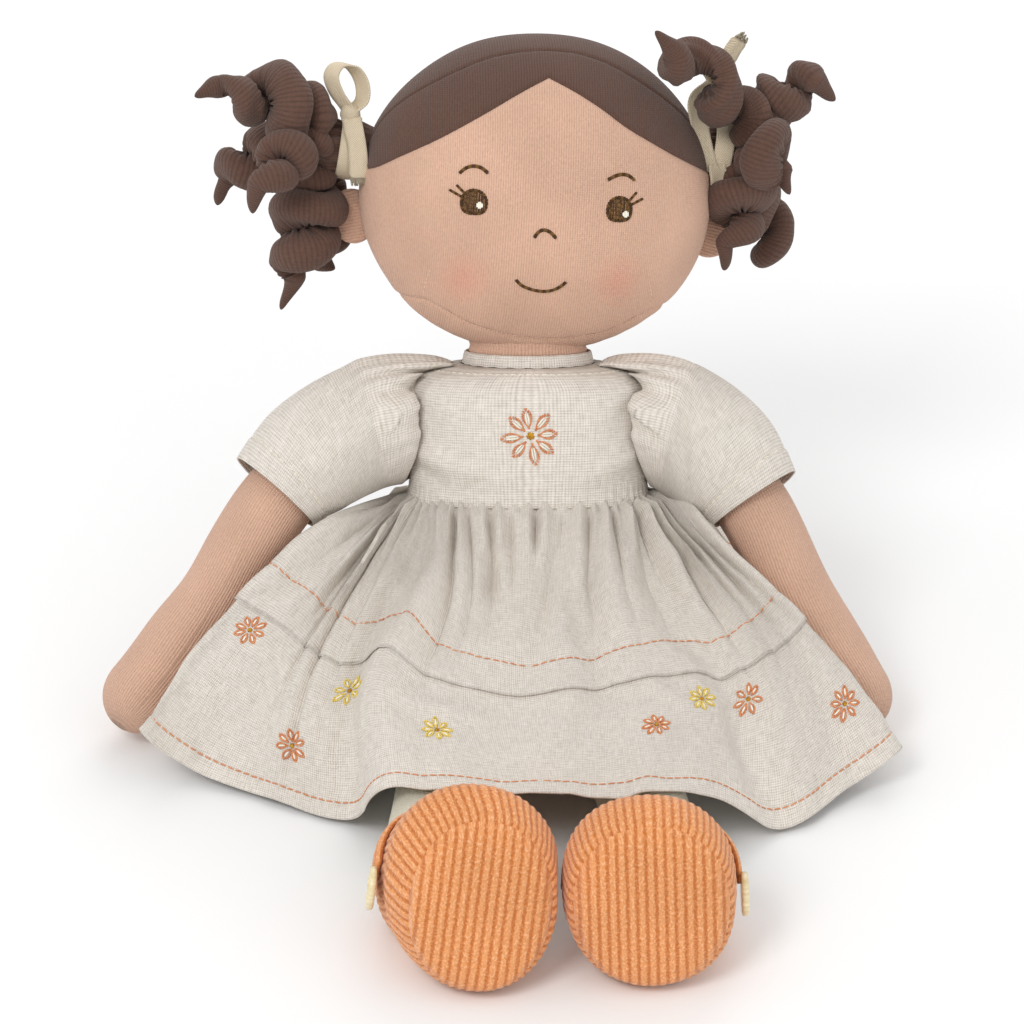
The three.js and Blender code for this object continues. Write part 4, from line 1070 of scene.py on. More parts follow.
def stitched_line(form, line, stitch, radius, seed, lift=0.0):
    """Back stitches along a line drawn on the face, dark with some golden ones."""
    run, length = drawn(line, 200)
    count = max(2, round(length[-1] / stitch))
    marks = np.linspace(0, length[-1], count + 1)
    x, z = np.interp(marks, length, run[:, 0]), np.interp(marks, length, run[:, 1])
    spot = np.column_stack([x, z])
    dice = np.random.default_rng(seed)
    tone = np.where(np.arange(count) % 2, 0.85, 0.0) + dice.uniform(-0.1, 0.1, count)
    overlap = 0.12 * (spot[1:] - spot[:-1])
    head_threads(form, spot[:-1] - overlap, spot[1:] + overlap, radius * MM, tone, lift)


class DOLL_OT_make_face(bpy.types.Operator):
    """Face: eyes, lashes, brows, nose and mouth embroidered on the jersey"""

    bl_idname = "doll.make_face"
    bl_label = "Face embroidery"

    def execute(self, context):
        seams = Form()
        for number, line in enumerate([chin_seam[2:-2], *darts]):
            run, length = drawn(line, 300)
            start = np.arange(0.4, length[-1] - 1.2, 1.5)
            ends = [
                np.column_stack([np.interp(start + step, length, run[:, k]) for k in (0, 1)])
                for step in (0, 1.0)
            ]
            head_threads(seams, *ends, 0.13 * MM, 0.8, (0.1 if number else -0.35) * MM)
        sew("chin_seam_stitching", seams, "skin_thread", "head")
        form, glints = Form(), Form()
        dice = np.random.default_rng(11)
        for number, eye in enumerate(eyes.values()):
            x0, z0 = eye["middle"]

            def outline(angle, share=1.0):
                power = np.where(np.sin(angle) < 0, eye_base_power, 2.0)
                x = eye_half[0] * squared(np.cos(angle), power) * share
                return np.stack([x0 + x, z0 + eye_half[1] * squared(np.sin(angle), power) * share], -1)

            for x in np.arange(-eye_half[0] + 0.5, eye_half[0] - 0.3, 0.42):
                angle_up = math.acos(x / eye_half[0])
                top = outline(np.array([angle_up]), 0.92)[0, 1] - z0
                share = abs(x) / eye_half[0]
                bottom = -eye_half[1] * 0.92 * (1 - share**eye_base_power) ** (1 / eye_base_power)
                cuts = np.arange(bottom, top, 1.35) + dice.uniform(-0.3, 0.3)
                cuts = np.unique(np.clip(np.append(cuts, [bottom, top]), bottom, top))
                a = np.column_stack([np.full(len(cuts) - 1, x0 + x), z0 + cuts[:-1]])
                b = np.column_stack([np.full(len(cuts) - 1, x0 + x + dice.uniform(-0.1, 0.1)), z0 + cuts[1:]])
                tone = dice.choice([0.05, 0.3, 0.75], len(a), p=[0.4, 0.35, 0.25])
                head_threads(form, a, b, 0.3 * MM, tone)
            rim = outline(ring_angles(26) + 0.1)
            tone = np.where(np.arange(26) % 3 == 2, 0.6, 0.0)
            head_threads(form, rim, np.roll(rim, -1, 0), 0.52 * MM, tone, 0.2 * MM)
            gx, gz = eye["glint"]
            for shift, reach in ((-0.75, 0.7), (-0.25, 1.15), (0.25, 1.15), (0.75, 0.7)):
                head_threads(
                    glints, [(gx + shift, gz - reach)], [(gx + shift, gz + reach)],
                    0.36 * MM, 0.9, 0.45 * MM,
                )
            for k, (a, b) in enumerate(eye["lashes"], 20 + 2 * number):
                stitched_line(form, [a, tuple((np.array(a) + b) / 2), b], 0.95, 0.5, k, 0.15 * MM)
        for number, line in enumerate([*brows, nose_line, mouth_line]):
            stitched_line(form, line, 1.2, 0.66, 30 + number, 0.2 * MM)
        sew("face_embroidery", form, "brown_thread", "head")
        sew("eye_glints", glints, "cream_thread", "head")
        return {"FINISHED"}


# Torso and neck

torso_shares = [
    # rise, half width, half depth, squareness, how level the ring lies
    [0.0, 0.686, 0.667, 2.6, 1], [0.015, 0.857, 0.824, 2.6, 1], [0.08, 0.95, 0.94, 2.5, 0.5],
    [0.16, 1.0, 1.0, 2.4, 0], [0.4, 1.03, 1.02, 2.5, 0], [0.84, 0.98, 0.9, 2.5, 0],
    [0.93, 0.93, 0.8, 2.4, 0], [0.98, 0.68, 0.64, 2.2, 0], [1.0, 0.457, 0.5, 2.0, 0],
]


class DOLL_OT_make_body(bpy.types.Operator):
    """Body: the stuffed torso under the dress, and the neck"""

    bl_idname = "doll.make_body"
    bl_label = "Torso and neck"

    def execute(self, context):
        rows, around = 60, 72
        rise = np.linspace(0, 1, rows)
        angle = ring_angles(around)
        values = [smoothly(rise, torso_shares, column) for column in (1, 2, 3, 4)]
        centres = np.column_stack([0 * rise, 0 * rise, rise * torso_height])
        level = np.array([turn_x(20 * share) for share in values[3]])
        local = loft(centres, values[0] * torso_half[0], values[1] * torso_half[1], values[2], level, angle)
        dimple = drift(7, 5, 3 * local[..., 0] / torso_half[0], 3 * local[..., 2] / torso_height)
        local = local * (1 + 0.008 * dimple[..., None] * np.array([1, 1, 0]))
        points = torso.at(local)
        points[..., 2] = np.maximum(points[..., 2], 0)
        girth = TURN * torso_half[0] * 0.85
        cloth = spots(np.linspace(0, girth, around + 1), rise * torso_height)
        form = Form()
        form.tube(points, cloth)
        stands_for = ["torso_skin", "torso_filling"]
        sew("stuffed_torso", form, "skin_jersey", "torso", stands_for)

        shares = np.linspace(-0.5, 0.42, 28)
        waist = 1 + 0.05 * (2 * shares) ** 2
        crease = 1 + 0.012 * np.cos(shares * 38)
        centres = np.column_stack([0 * shares, 0 * shares, neck_base + shares * neck_length])
        still = np.repeat(np.eye(3)[None], len(shares), 0)
        local = loft(centres, neck_half[0] * waist * crease, neck_half[1] * waist * crease, 2, still, angle)
        cloth = spots(np.linspace(0, TURN * neck_half[0] * 0.9, around + 1), shares * neck_length)
        form = Form()
        points = torso.at(local)
        form.tube(points, cloth)
        sew("stuffed_neck", form, "skin_jersey", "neck", ["neck"])
        return {"FINISHED"}


# Bunches of curls: start y and z on the root as shares of its radius, bend and end as shares of
# the reach (x runs outward from the head), turns and phase of the corkscrew
curl_shares = {
    "right": [
        [-0.25, 0.55, 0.58, -0.3, 0.42, 1.02, -0.36, 0.3, 2.2, 0.0],
        [0.5, 0.15, 0.73, 0.24, 0.03, 0.84, 0.43, -0.46, 2.1, 1.2],
        [-0.62, -0.05, 0.56, -0.6, 0.12, 0.6, -0.52, -0.42, 1.6, 2.0],
        [-0.2, -0.6, 0.3, -0.14, -0.52, 0.4, 0.08, -1.12, 2.3, 0.4],
        [0.5, -0.35, 0.24, 0.5, -0.66, 0.0, 0.46, -0.84, 1.8, 2.4],
    ],
    "left": [
        [-0.35, 0.6, -0.22, -0.64, 0.58, -0.64, -0.8, 0.84, 1.8, 0.6],
        [0.35, 0.5, 0.26, -0.24, 0.62, 0.7, -0.16, 0.4, 2.2, 2.2],
        [-0.62, 0.0, 0.23, -0.47, 0.2, 0.42, -0.38, -0.22, 1.4, 0.0],
        [-0.2, -0.6, 0.07, -0.3, -0.24, 0.04, -0.07, -0.76, 1.8, 1.0],
        [0.5, -0.45, 0.27, 0.3, -0.56, 0.5, 0.4, -0.72, 1.8, 2.0],
    ],
}
curl_swell_share = 0.12
curl_tip_share = 0.4
curl_tightness = 1.2  # times the turns in the table
root_shares = [[-0.45, 0.7], [0.1, 0.88], [0.45, 0.74], [0.75, 0.9], [1.0, 0.92], [1.35, 0.7]]


def bunch_place(label):
    """Axes of a bunch, from where its root meets the head."""
    side = sides[label]
    out = side * (head_half[0] - 2 * seam_gap)
    return head.within(np.eye(3), (out, 0.1 * head_half[1], head_rise + bunch_rises[label]))


def bezier(start, bend, end, t):
    """A line from start to end, drawn towards the bend."""
    t = np.asarray(t, float)[:, None]
    return start * (1 - t) ** 2 + 2 * bend * t * (1 - t) + end * t * t


def curl_form(side, numbers, seed, wrinkle):
    """One stuffed curl: a corkscrew tube, ruched along its inside and narrowing to a point."""
    start_y, start_z, *rest = numbers
    start = np.array([side * (root_length + seam_gap), start_y * root_radius, start_z * root_radius])
    bend = np.array([side * rest[0], rest[1], rest[2]]) * bunch_reach
    end = np.array([side * rest[3], rest[4], rest[5]]) * bunch_reach
    spread = np.array([side * 0.5 * root_length, 0, 0])
    bend, end = bend + spread, end + spread
    turns, phase = curl_tightness * rest[6], rest[7]
    t = np.linspace(0, 1, int(70 * turns))
    tip = np.maximum(0, (t - 1 + curl_tip_share) / curl_tip_share)
    swell = np.minimum(1, t / curl_swell_share)
    loose = 1 + 0.4 * drift(seed + 3, 3, t * turns * 4)
    swing = curl_coil * loose * swell**1.5 * (1 - 0.7 * tip)
    angle = phase + TURN * turns * (1 - np.maximum(0, 1 - t / (1 - curl_tip_share / 2)) ** 1.15)
    angle = angle + 0.8 * drift(seed + 4, 3, t * turns * 3)
    ahead = unit(2 * (bend - start) * (1 - t[:, None]) + 2 * (end - bend) * t[:, None])
    sideways = unit(np.cross(ahead, [0, 1.0, 0]))
    upward = np.cross(ahead, sideways)
    off = sideways * np.cos(angle)[:, None] + upward * np.sin(angle)[:, None]
    centres = bezier(start, bend, end, t) + off * swing[:, None]
    plump = 1 + 0.16 * drift(seed + 2, 3, t * turns * 7)
    narrowing = (1 - 0.74 * tip**1.1) * np.sqrt(np.maximum(1 - tip**9, 0.01))
    radius = curl_radius * plump * (1 + swell) / 2 * narrowing
    along = unit(np.gradient(centres, axis=0))
    inward = unit(-off + along * np.sum(off * along, axis=1)[:, None])
    across = np.cross(along, inward)
    around = 32
    round_it = ring_angles(around)
    run = run_along(centres)
    inner = (0.5 + 0.5 * np.cos(round_it[None] + 0.5 * np.sin(t * turns * 5)[:, None])) ** 1.8
    patchy = np.clip(0.6 + 1.2 * drift(seed + 5, 3, run / (6 * MM)), 0, 1.3)
    ruche = (patchy * np.sin(TURN * run / (2.6 * MM) + 2.6 * drift(seed, 3, run / (5 * MM))))[:, None]
    soft = drift(seed + 1, 6, run[:, None] / (4 * MM), np.sin(round_it)[None] * 2, np.cos(round_it)[None] * 2)
    wave = wrinkle * (1.3 * ruche * inner + 1.2 * soft) * (1 - ease(0.1, 0.7, tip))[:, None]
    girth = radius[:, None] * (1.06 - 0.2 * inner * (1 - tip[:, None])) + wave * swell[:, None]
    girth = np.maximum(girth, 0.12 * radius[:, None])
    rows = centres[:, None] + girth[..., None] * (
        inward[:, None] * np.cos(round_it)[None, :, None] + across[:, None] * np.sin(round_it)[None, :, None]
    )
    cloth = spots(np.linspace(0, TURN * curl_radius, around + 1), run + seed * 7 * MM)[..., ::-1]
    return rows, cloth, centres[0], centres[-1] + along[-1] * 0.5 * radius[-1]


class DOLL_OT_make_bunches(bpy.types.Operator):
    """Bunches: the gathered root of each and its stuffed curls"""

    bl_idname = "doll.make_bunches"
    bl_label = "Bunches of curls"

    def execute(self, context):
        wrinkle = context.scene.doll_sizes.wrinkle
        around, rows = 96, 40
        angle = ring_angles(around)
        for label, side in sides.items():
            place = bunch_place(label)
            along = np.linspace(root_shares[0][0], root_shares[-1][0], rows)
            radius = root_radius * smoothly(along, root_shares, 1)
            pleats = 1 + 0.07 * np.cos(15 * angle + 2 * np.sin(3 * angle)) * ease(-0.4, 0.3, along)[:, None]
            ring = radius[:, None] * pleats
            x = np.broadcast_to(side * (along * root_length)[:, None], ring.shape)
            local = np.stack([x, ring * np.cos(angle), ring * np.sin(angle)], -1)
            if side < 0:
                local = local[:, ::-1]
            points = place.at(local)
            cloth = spots(np.linspace(0, TURN * root_radius, around + 1), along * root_length)
            form = Form()
            form.tube(points, cloth)
            body = f"{label}_bunch"
            root = sew(f"gathered_{body}_root", form, "curl_jersey", body, [f"{body}_root"])
            for number, numbers in enumerate(curl_shares[label], 1):
                shape, cloth, first, last = curl_form(side, numbers, 50 + number + 10 * side, wrinkle)
                form = Form()
                form.tube(place.at(shape), cloth, place.at(first), place.at(last))
                name = f"{label}_curl_{number}"
                curl = sew("stuffed_" + name, form, "curl_jersey", body, [name])
        return {"FINISHED"}


# Tapes: lines of each loop and loose end in mm from the bunch's place, where x runs outward from the
# head, and which way each strip's width runs
tape_width = 6.6 * MM
# How far out and up each band lies in mm, its size as a share of the root and its lean in degrees
tape_bands = {"right": (4.6, 0.0, 1.02, -6), "left": (3.2, 1.0, 1.04, 8)}
tape_lines = {
    "right": {
        "loop": [(4.6, -6.5, 12.5), (0.4, -6.0, 16.5), (0.6, -5.5, 22.5), (4.4, -6.5, 28.0),
                 (9.6, -8.5, 28.8), (11.9, -10.0, 25.0), (9.8, -9.5, 18.5), (5.4, -7.5, 12.8)],
        "tail": [(4.6, -8.5, 12.0), (3.2, -12.2, 6.0), (1.8, -13.2, -1.5), (1.4, -13.0, -9.5)],
    },
    "left": {
        "loop": [(1.6, -6.5, 22.5), (-1.5, -7.0, 27.5), (-4.0, -8.0, 31.0), (-2.2, -9.2, 33.5),
                 (0.8, -9.0, 30.0), (2.0, -7.5, 24.0)],
        "tail": [(1.6, -6.5, 22.0), (1.9, -7.2, 28.0), (4.0, -8.2, 34.0), (7.6, -9.4, 40.0)],
        "fall": [(-1.6, -8.5, 23.5), (-6.8, -10.5, 18.5), (-5.4, -11.8, 9.0), (-1.8, -12.0, -3.5)],
        "end": [(0.8, -11.4, -2.0), (2.0, -11.6, -8.5), (2.5, -11.0, -15.5)],
    },
}
tape_ways = {"loop": (0.7, 0.7, 0), "tail": (1, 0.3, 0.1), "fall": (1, 0.35, 0.2), "end": (1, 0.3, 0)}


def tape_strip(place, side, line, width_way, seed, taper=0.0):
    """A strip of tape along a line, a little cupped across."""
    points = np.array(line, float) * MM * np.array([side, 1, 1])
    shares = np.linspace(0, 1, 60)
    centres, ahead, length = evenly(points, shares)
    wide = unit(np.array(width_way, float) * np.array([side, 1, 1]))
    wide = unit(wide[None] - ahead * (ahead @ wide)[:, None])
    up = np.cross(ahead, wide)
    across = np.linspace(-0.5, 0.5, 11)
    cup = 0.5 * MM * (4 * across**2 - 0.4) + 0.25 * MM * drift(seed, 3, across * 5)
    fray = 1 - taper * ease(0.9, 1, shares)
    rows = centres[:, None] + wide[:, None] * (across[None] * tape_width * fray[:, None])[..., None]
    rows = rows + up[:, None] * (cup[None] * (1 + 0.4 * np.sin(shares * 17 + seed))[:, None])[..., None]
    cloth = spots(across * tape_width, shares * length)[..., ::-1]
    return place.at(rows), cloth


class DOLL_OT_make_tapes(bpy.types.Operator):
    """Hair ties: a band of twill tape round each root, knotted, with a loop and loose ends"""

    bl_idname = "doll.make_tapes"
    bl_label = "Hair tapes"

    def execute(self, context):
        around = 90
        angle = ring_angles(around)
        for label, side in sides.items():
            place = bunch_place(label)
            body = f"{label}_bunch"
            out, up, size, lean = tape_bands[label]
            across = np.linspace(-0.5, 0.5, 11)
            ring = size * root_radius + 0.35 * MM * drift(9 + side, 3, np.cos(angle) * 2, np.sin(angle) * 2)
            bulge = 0.45 * MM * (1 - 4 * across**2)
            radius = ring[None] + bulge[:, None]
            x = side * (out * MM + across * tape_width)[:, None] + 0 * radius
            local = np.stack([x, radius * np.cos(angle), radius * np.sin(angle)], -1)
            local = local @ turn_y(lean * side).T + np.array([0, 0, up * MM])
            if side < 0:
                local = local[:, ::-1]
            cloth = spots(np.linspace(0, TURN * root_radius, around + 1), across * tape_width)
            form = Form()
            form.net(place.at(local), cloth, wrap=True)
            stands_for = [f"{label}_hair_tape"]
            sew(f"{label}_tape_band", form, "tape_twill", body, stands_for, tape_wall)

            form = Form()
            for number, (kind, line) in enumerate(tape_lines[label].items()):
                ways, seed = tape_ways[kind], 5 + number
                rows, cloth = tape_strip(place, side, line, ways, seed, 0.3 * (kind == "tail"))
                form.net(rows, cloth)
                if kind != "loop":
                    dice = np.random.default_rng(number)
                    last, before = rows[-1], rows[-3]
                    ends = last + unit(last - before) * dice.uniform(0.8, 2.4, (len(last), 1)) * MM
                    ends = ends + dice.normal(0, 0.35 * MM, ends.shape)
                    form.threads(before, ends, head.along((0, -1, 0)), 0.24 * MM, 0.5)
            bow = sew(f"{label}_tape_loop_and_tail", form, "tape_twill", None, (), tape_wall)
            near, far = place.at((-side * 2 * MM, 0, 0)), place.at((side * 9 * MM, 0, 0))
            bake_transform(bow)
            knot_at = np.array(tape_lines[label]["loop"][0]) * MM * np.array([side, 1, 1]) + [0, -1.2 * MM, 0]
            t = np.linspace(0, 1, 22)
            bulb = np.sin(np.clip(t, 0.03, 0.97) * math.pi) ** 0.45
            knot_angle = ring_angles(30)
            wrap_fold = 1 + 0.08 * np.cos(2 * knot_angle[None] + 5 * t[:, None])
            local = np.stack([
                tape_knot_half[0] * bulb[:, None] * np.cos(knot_angle) * wrap_fold,
                tape_knot_half[1] * bulb[:, None] * np.sin(knot_angle) * wrap_fold,
                (2 * t[:, None] - 1) * tape_knot_half[2] + 0 * knot_angle,
            ], -1) + knot_at
            form = Form()
            points = place.at(local)
            form.tube(points, spots(np.linspace(0, 20 * MM, 31), t * 8 * MM))
            sew(f"{label}_tape_knot", form, "tape_twill", body, [f"{label}_tape_bow"])
        return {"FINISHED"}


# Arms: girth along the arm as shares of its radius, then its line out, forward and down
arm_shares = [[0, 0.26], [0.08, 0.42], [0.2, 0.88], [0.38, 1.0], [0.62, 0.95], [0.82, 1.0], [0.9, 0.98],
              [1.0, 0.98]]
arm_place_shares = [[0, 0, 0], [0.3, 0.17, 0.1], [0.53, 0.36, 0.3], [0.76, 0.62, 0.69], [1.06, 1.06, 1.06]]
palm_share = 0.9


def arm_line(label):
    """Places along the middle of an arm, from shoulder to hand."""
    side = sides[label]
    root = torso.at((side * 0.975 * torso_half[0], 0, shoulder_rise))
    reach = np.array([side * arm_reach[label], -arm_forward, -arm_drop])
    return root + np.array(arm_place_shares) * reach


class DOLL_OT_make_arms(bpy.types.Operator):
    """Arms: stuffed jersey tubes with rounded hands"""

    bl_idname = "doll.make_arms"
    bl_label = "Arms"

    def execute(self, context):
        rows, around = 150, 64
        for label, side in sides.items():
            t = np.linspace(0, 1, rows)
            bend = np.clip((t - 0.72) / 0.28, 0, 1) * math.pi / 2
            shares = np.where(t < 0.72, t * palm_share / 0.72, 1 - (1 - palm_share) * np.cos(bend))
            shares = np.minimum(shares, 0.9995)
            centres, ahead, length = evenly(arm_line(label), shares)
            round_end = np.clip((shares - palm_share) / (1 - palm_share), 0, 1)
            radius = arm_radius * smoothly(shares, arm_shares, 1) * np.sqrt(1 - round_end**2.2)
            angle = ring_angles(around)
            turns = turned_to(ahead)
            points = loft(centres, 1, 1, 2, turns, angle) - centres[:, None]
            run = shares * length
            around_it = np.cos(angle)[None] * 1.6, np.sin(angle)[None]
            crease = drift(13 + side, 5, run[:, None] / (9 * MM), *around_it)
            seam = mound(np.cos(angle - 1.2), -1, 0.02)[None] * 0.6 * MM
            swell = radius[:, None] + 0.35 * MM * crease * ease(0.12, 0.3, shares)[:, None] - seam
            points = centres[:, None] + points * np.maximum(swell, 0.2 * MM)[..., None]
            points[..., 2] = np.maximum(points[..., 2], 0.2 * MM)
            cloth = spots(np.linspace(0, TURN * arm_radius, around + 1), run)
            form = Form()
            form.tube(points, cloth, centres[0])
            body = f"{label}_arm"
            stands_for = [f"{body}_skin", f"{body}_filling"]
            sew(f"stuffed_{body}", form, "skin_jersey", body, stands_for)
        return {"FINISHED"}


# Dress

bodice_shares = [
    # rise between waist and top, half width, half depth, squareness
    [0, 0.99, 0.98, 2.7], [0.3, 1.0, 1.0, 2.8], [0.62, 1.0, 0.99, 2.9], [0.82, 0.985, 0.93, 2.9],
    [0.93, 0.9, 0.83, 2.7], [0.985, 0.7, 0.7, 2.3], [1.0, 0.559, 0.629, 2.0],
]
# Drag lines of the bodice: angle in degrees and rise at each end, width in mm, height in mm
bodice_creases = [
    (196, 0.42, 262, 0.2, 3.6, 1.5), (200, 0.3, 240, 0.08, 3.0, -0.9), (344, 0.42, 292, 0.22, 3.6, 1.2),
    (212, 0.75, 238, 0.5, 4.5, -0.8), (328, 0.78, 300, 0.5, 4.5, -0.9), (222, 0.95, 214, 0.55, 4.0, 0.8),
    (318, 0.95, 326, 0.55, 4.0, 0.8), (60, 0.3, 110, 0.15, 4.0, 0.8), (130, 0.6, 100, 0.35, 4.5, -0.7),
]


def crease_lift(a, b, creases, a_size, b_size):
    """Lift of folds that run between two places on a cloth measured a_size by b_size per unit."""
    total = 0
    for a0, b0, a1, b1, width, height in creases:
        start = np.array([a0 * a_size, b0 * b_size])
        along = np.array([a1 * a_size, b1 * b_size]) - start
        px, py = a * a_size - start[0], b * b_size - start[1]
        t = np.clip((px * along[0] + py * along[1]) / (along @ along), 0, 1)
        away = np.hypot(px - t * along[0], py - t * along[1])
        fade = np.sin(math.pi * np.clip(t, 0.08, 0.92)) ** 0.6
        total = total + height * MM * mound(away, 0, width * MM) * fade
    return total


def bodice_cloth(degrees, rise, lift=0.0):
    """Places on the bodice by angle (270 is the front, 90 the back) and rise between waist and neck."""
    shape, degrees, rise = in_step(degrees, rise)
    height = bodice_top - waist_rise
    wide, deep, power = (smoothly(rise, bodice_shares, k) for k in (1, 2, 3))
    angle = np.radians(degrees)
    soft = 0.35 * MM * drift(21, 5, 2 * np.cos(angle), 2 * np.sin(angle), 3 * rise)
    creases = crease_lift(degrees % 360, rise, bodice_creases, TURN * 36 * MM / 360, height)
    seam = 0.5 * MM * mound(rise, 0.0, 0.05) + 0.2 * MM * np.sin(angle * 60) * mound(rise, 0, 0.12)
    beside = ease(6 * MM, 6.6 * MM, np.abs(np.cos(angle)) * bodice_half[0])
    placket = 0.5 * MM * (1 - beside) * (np.sin(angle) > 0)
    keep = 1 - ease(0.9, 1.0, rise)
    push = (soft + creases + placket) * keep + seam + lift
    c, s = np.cos(angle), np.sin(angle)
    x = (wide * bodice_half[0] + push) * squared(c, power)
    y = (deep * bodice_half[1] + push) * squared(s, power)
    local = np.stack([x, y, waist_rise + rise * height], -1)
    return torso.at(local).reshape(*shape, 3)


def bodice_front(x, rise, lift=0.0):
    """Places on the front of the bodice by how far they are to the right of its middle."""
    rise = np.asarray(rise, float)
    power = smoothly(rise.ravel(), bodice_shares, 3).reshape(rise.shape)
    share = np.asarray(x, float) / bodice_half[0]
    out = np.sign(share) * np.abs(share) ** (power / 2)
    return bodice_cloth(270 + np.degrees(np.arcsin(out)), rise, lift)


def cut_away(points, faces, cloth, values):
    """Triangles of a net kept where the values are above zero, with a clean cut along zero."""
    side = values[faces] > 0
    keep = [(faces[side.all(1)], cloth[side.all(1)])]
    crossed = side.any(1) & ~side.all(1)
    points, made, fresh, spots_of = list(points), {}, [], []
    for face, spot, ins in zip(faces[crossed], cloth[crossed], side[crossed]):
        lone = int(np.where(ins == (ins.sum() == 1))[0][0])
        a, b, c = np.roll(face, -lone)
        sa, sb, sc = np.roll(spot, -lone, axis=0)

        def between(p, q, sp, sq):
            share = values[p] / (values[p] - values[q])
            key = (min(p, q), max(p, q))
            if key not in made:
                made[key] = len(points)
                points.append(points[p] * (1 - share) + points[q] * share)
            return made[key], sp * (1 - share) + sq * share

        m, sm = between(a, b, sa, sb)
        n, sn = between(a, c, sa, sc)
        if ins.sum() == 1:
            fresh.append((a, m, n))
            spots_of.append((sa, sm, sn))
        else:
            fresh += [(m, b, c), (m, c, n)]
            spots_of += [(sm, sb, sc), (sm, sc, sn)]
    if fresh:
        keep.append((np.array(fresh), np.array(spots_of)))
    corners = np.concatenate([k[0] for k in keep])
    used, corners_now = np.unique(corners, return_inverse=True)
    return np.array(points)[used], corners_now.reshape(-1, 3), np.concatenate([k[1] for k in keep])


def running_stitches(form, surface, line, stitch, gap, radius, seed, lift=0.1 * MM, wander=0.0):
    """Running stitches along a line of places (a, b) on a surface."""
    line = np.asarray(line, float)
    points = surface(line[:, 0], line[:, 1], 0.0)
    run = run_along(points)
    starts = np.arange(0, run[-1] - stitch, stitch + gap)
    dice = np.random.default_rng(seed)
    shake = dice.uniform(-wander, wander, len(starts))

    def at(distance, offset):
        a, b = np.interp(distance, run, line[:, 0]), np.interp(distance, run, line[:, 1])
        return surface(a, b + offset, lift), a, b

    begin, a0, b0 = at(starts, shake)
    finish, a1, b1 = at(starts + stitch, -shake)
    away = surface((a0 + a1) / 2, (b0 + b1) / 2, 1 * MM) - surface((a0 + a1) / 2, (b0 + b1) / 2, 0.0)
    form.threads(begin, finish, unit(away), radius, dice.uniform(0.35, 0.9, len(starts)))


def per_mm(surface, middle, step_a, step_b):
    """How far a and b go for each mm to the right and up at a place on a surface."""
    a, b = middle
    wide = np.linalg.norm(surface(a + step_a, b, 0.0) - surface(a - step_a, b, 0.0)) / (2 * step_a)
    tall = np.linalg.norm(surface(a, b + step_b, 0.0) - surface(a, b - step_b, 0.0)) / (2 * step_b)
    return MM / wide, math.copysign(MM / tall, step_b)


def flower(form, knots, fills, surface, middle, size, scale, petals, turn, radius, seed):
    """An embroidered flower: petals outlined in short stitches, pale inside, round a knot."""
    dice = np.random.default_rng(seed)

    def spot(right, up, lift=0.15 * MM):
        a, b = middle[0] + np.asarray(right) * scale[0], middle[1] + np.asarray(up) * scale[1]
        return surface(a, b, lift)

    outward = unit(spot(0, 0, 1 * MM) - spot(0, 0, 0))
    for number in range(petals):
        angle = turn + TURN * number / petals + dice.uniform(-0.07, 0.07)
        ahead = np.array([math.cos(angle), math.sin(angle)])
        across = np.array([-ahead[1], ahead[0]])
        start, end = 0.3 * size, size * dice.uniform(0.92, 1.06)
        half = 0.15 * size
        along = np.linspace(0.02, 0.98, 9)
        for way in (-1, 1):
            edge = way * half * np.sin(math.pi * along**1.2) ** 0.9
            rim = ahead * (start + (end - start) * along)[:, None] + across * edge[:, None]
            lean = across * way * 0.07 * size + ahead * 0.12 * size
            outer = rim + lean * 0.5
            inner = rim - lean * 0.5
            a, b = spot(inner[:, 0], inner[:, 1]), spot(outer[:, 0], outer[:, 1])
            facing = np.repeat(outward.reshape(1, 3), len(a), 0)
            form.threads(a, b, facing, radius, dice.uniform(0, 1, len(a)))
        for shift in (-0.3, 0.3) if size > 8 else (0.0,):
            tail = ahead * (start + 0.12 * size) + across * half * shift
            nose = ahead * (end - 0.14 * size) + across * half * shift
            fills.threads(spot(*tail), spot(*nose), outward, radius * 1.15, 0.8)
    for number in range(7):
        angle = number * 2.4
        reach = 0.15 * size
        a = spot(reach * math.cos(angle), reach * math.sin(angle), 0.25 * MM)
        b = spot(-reach * math.cos(angle + 0.5), -reach * math.sin(angle + 0.5), 0.25 * MM)
        knots.threads(a, b, outward, radius * 1.35, dice.uniform(0, 1))


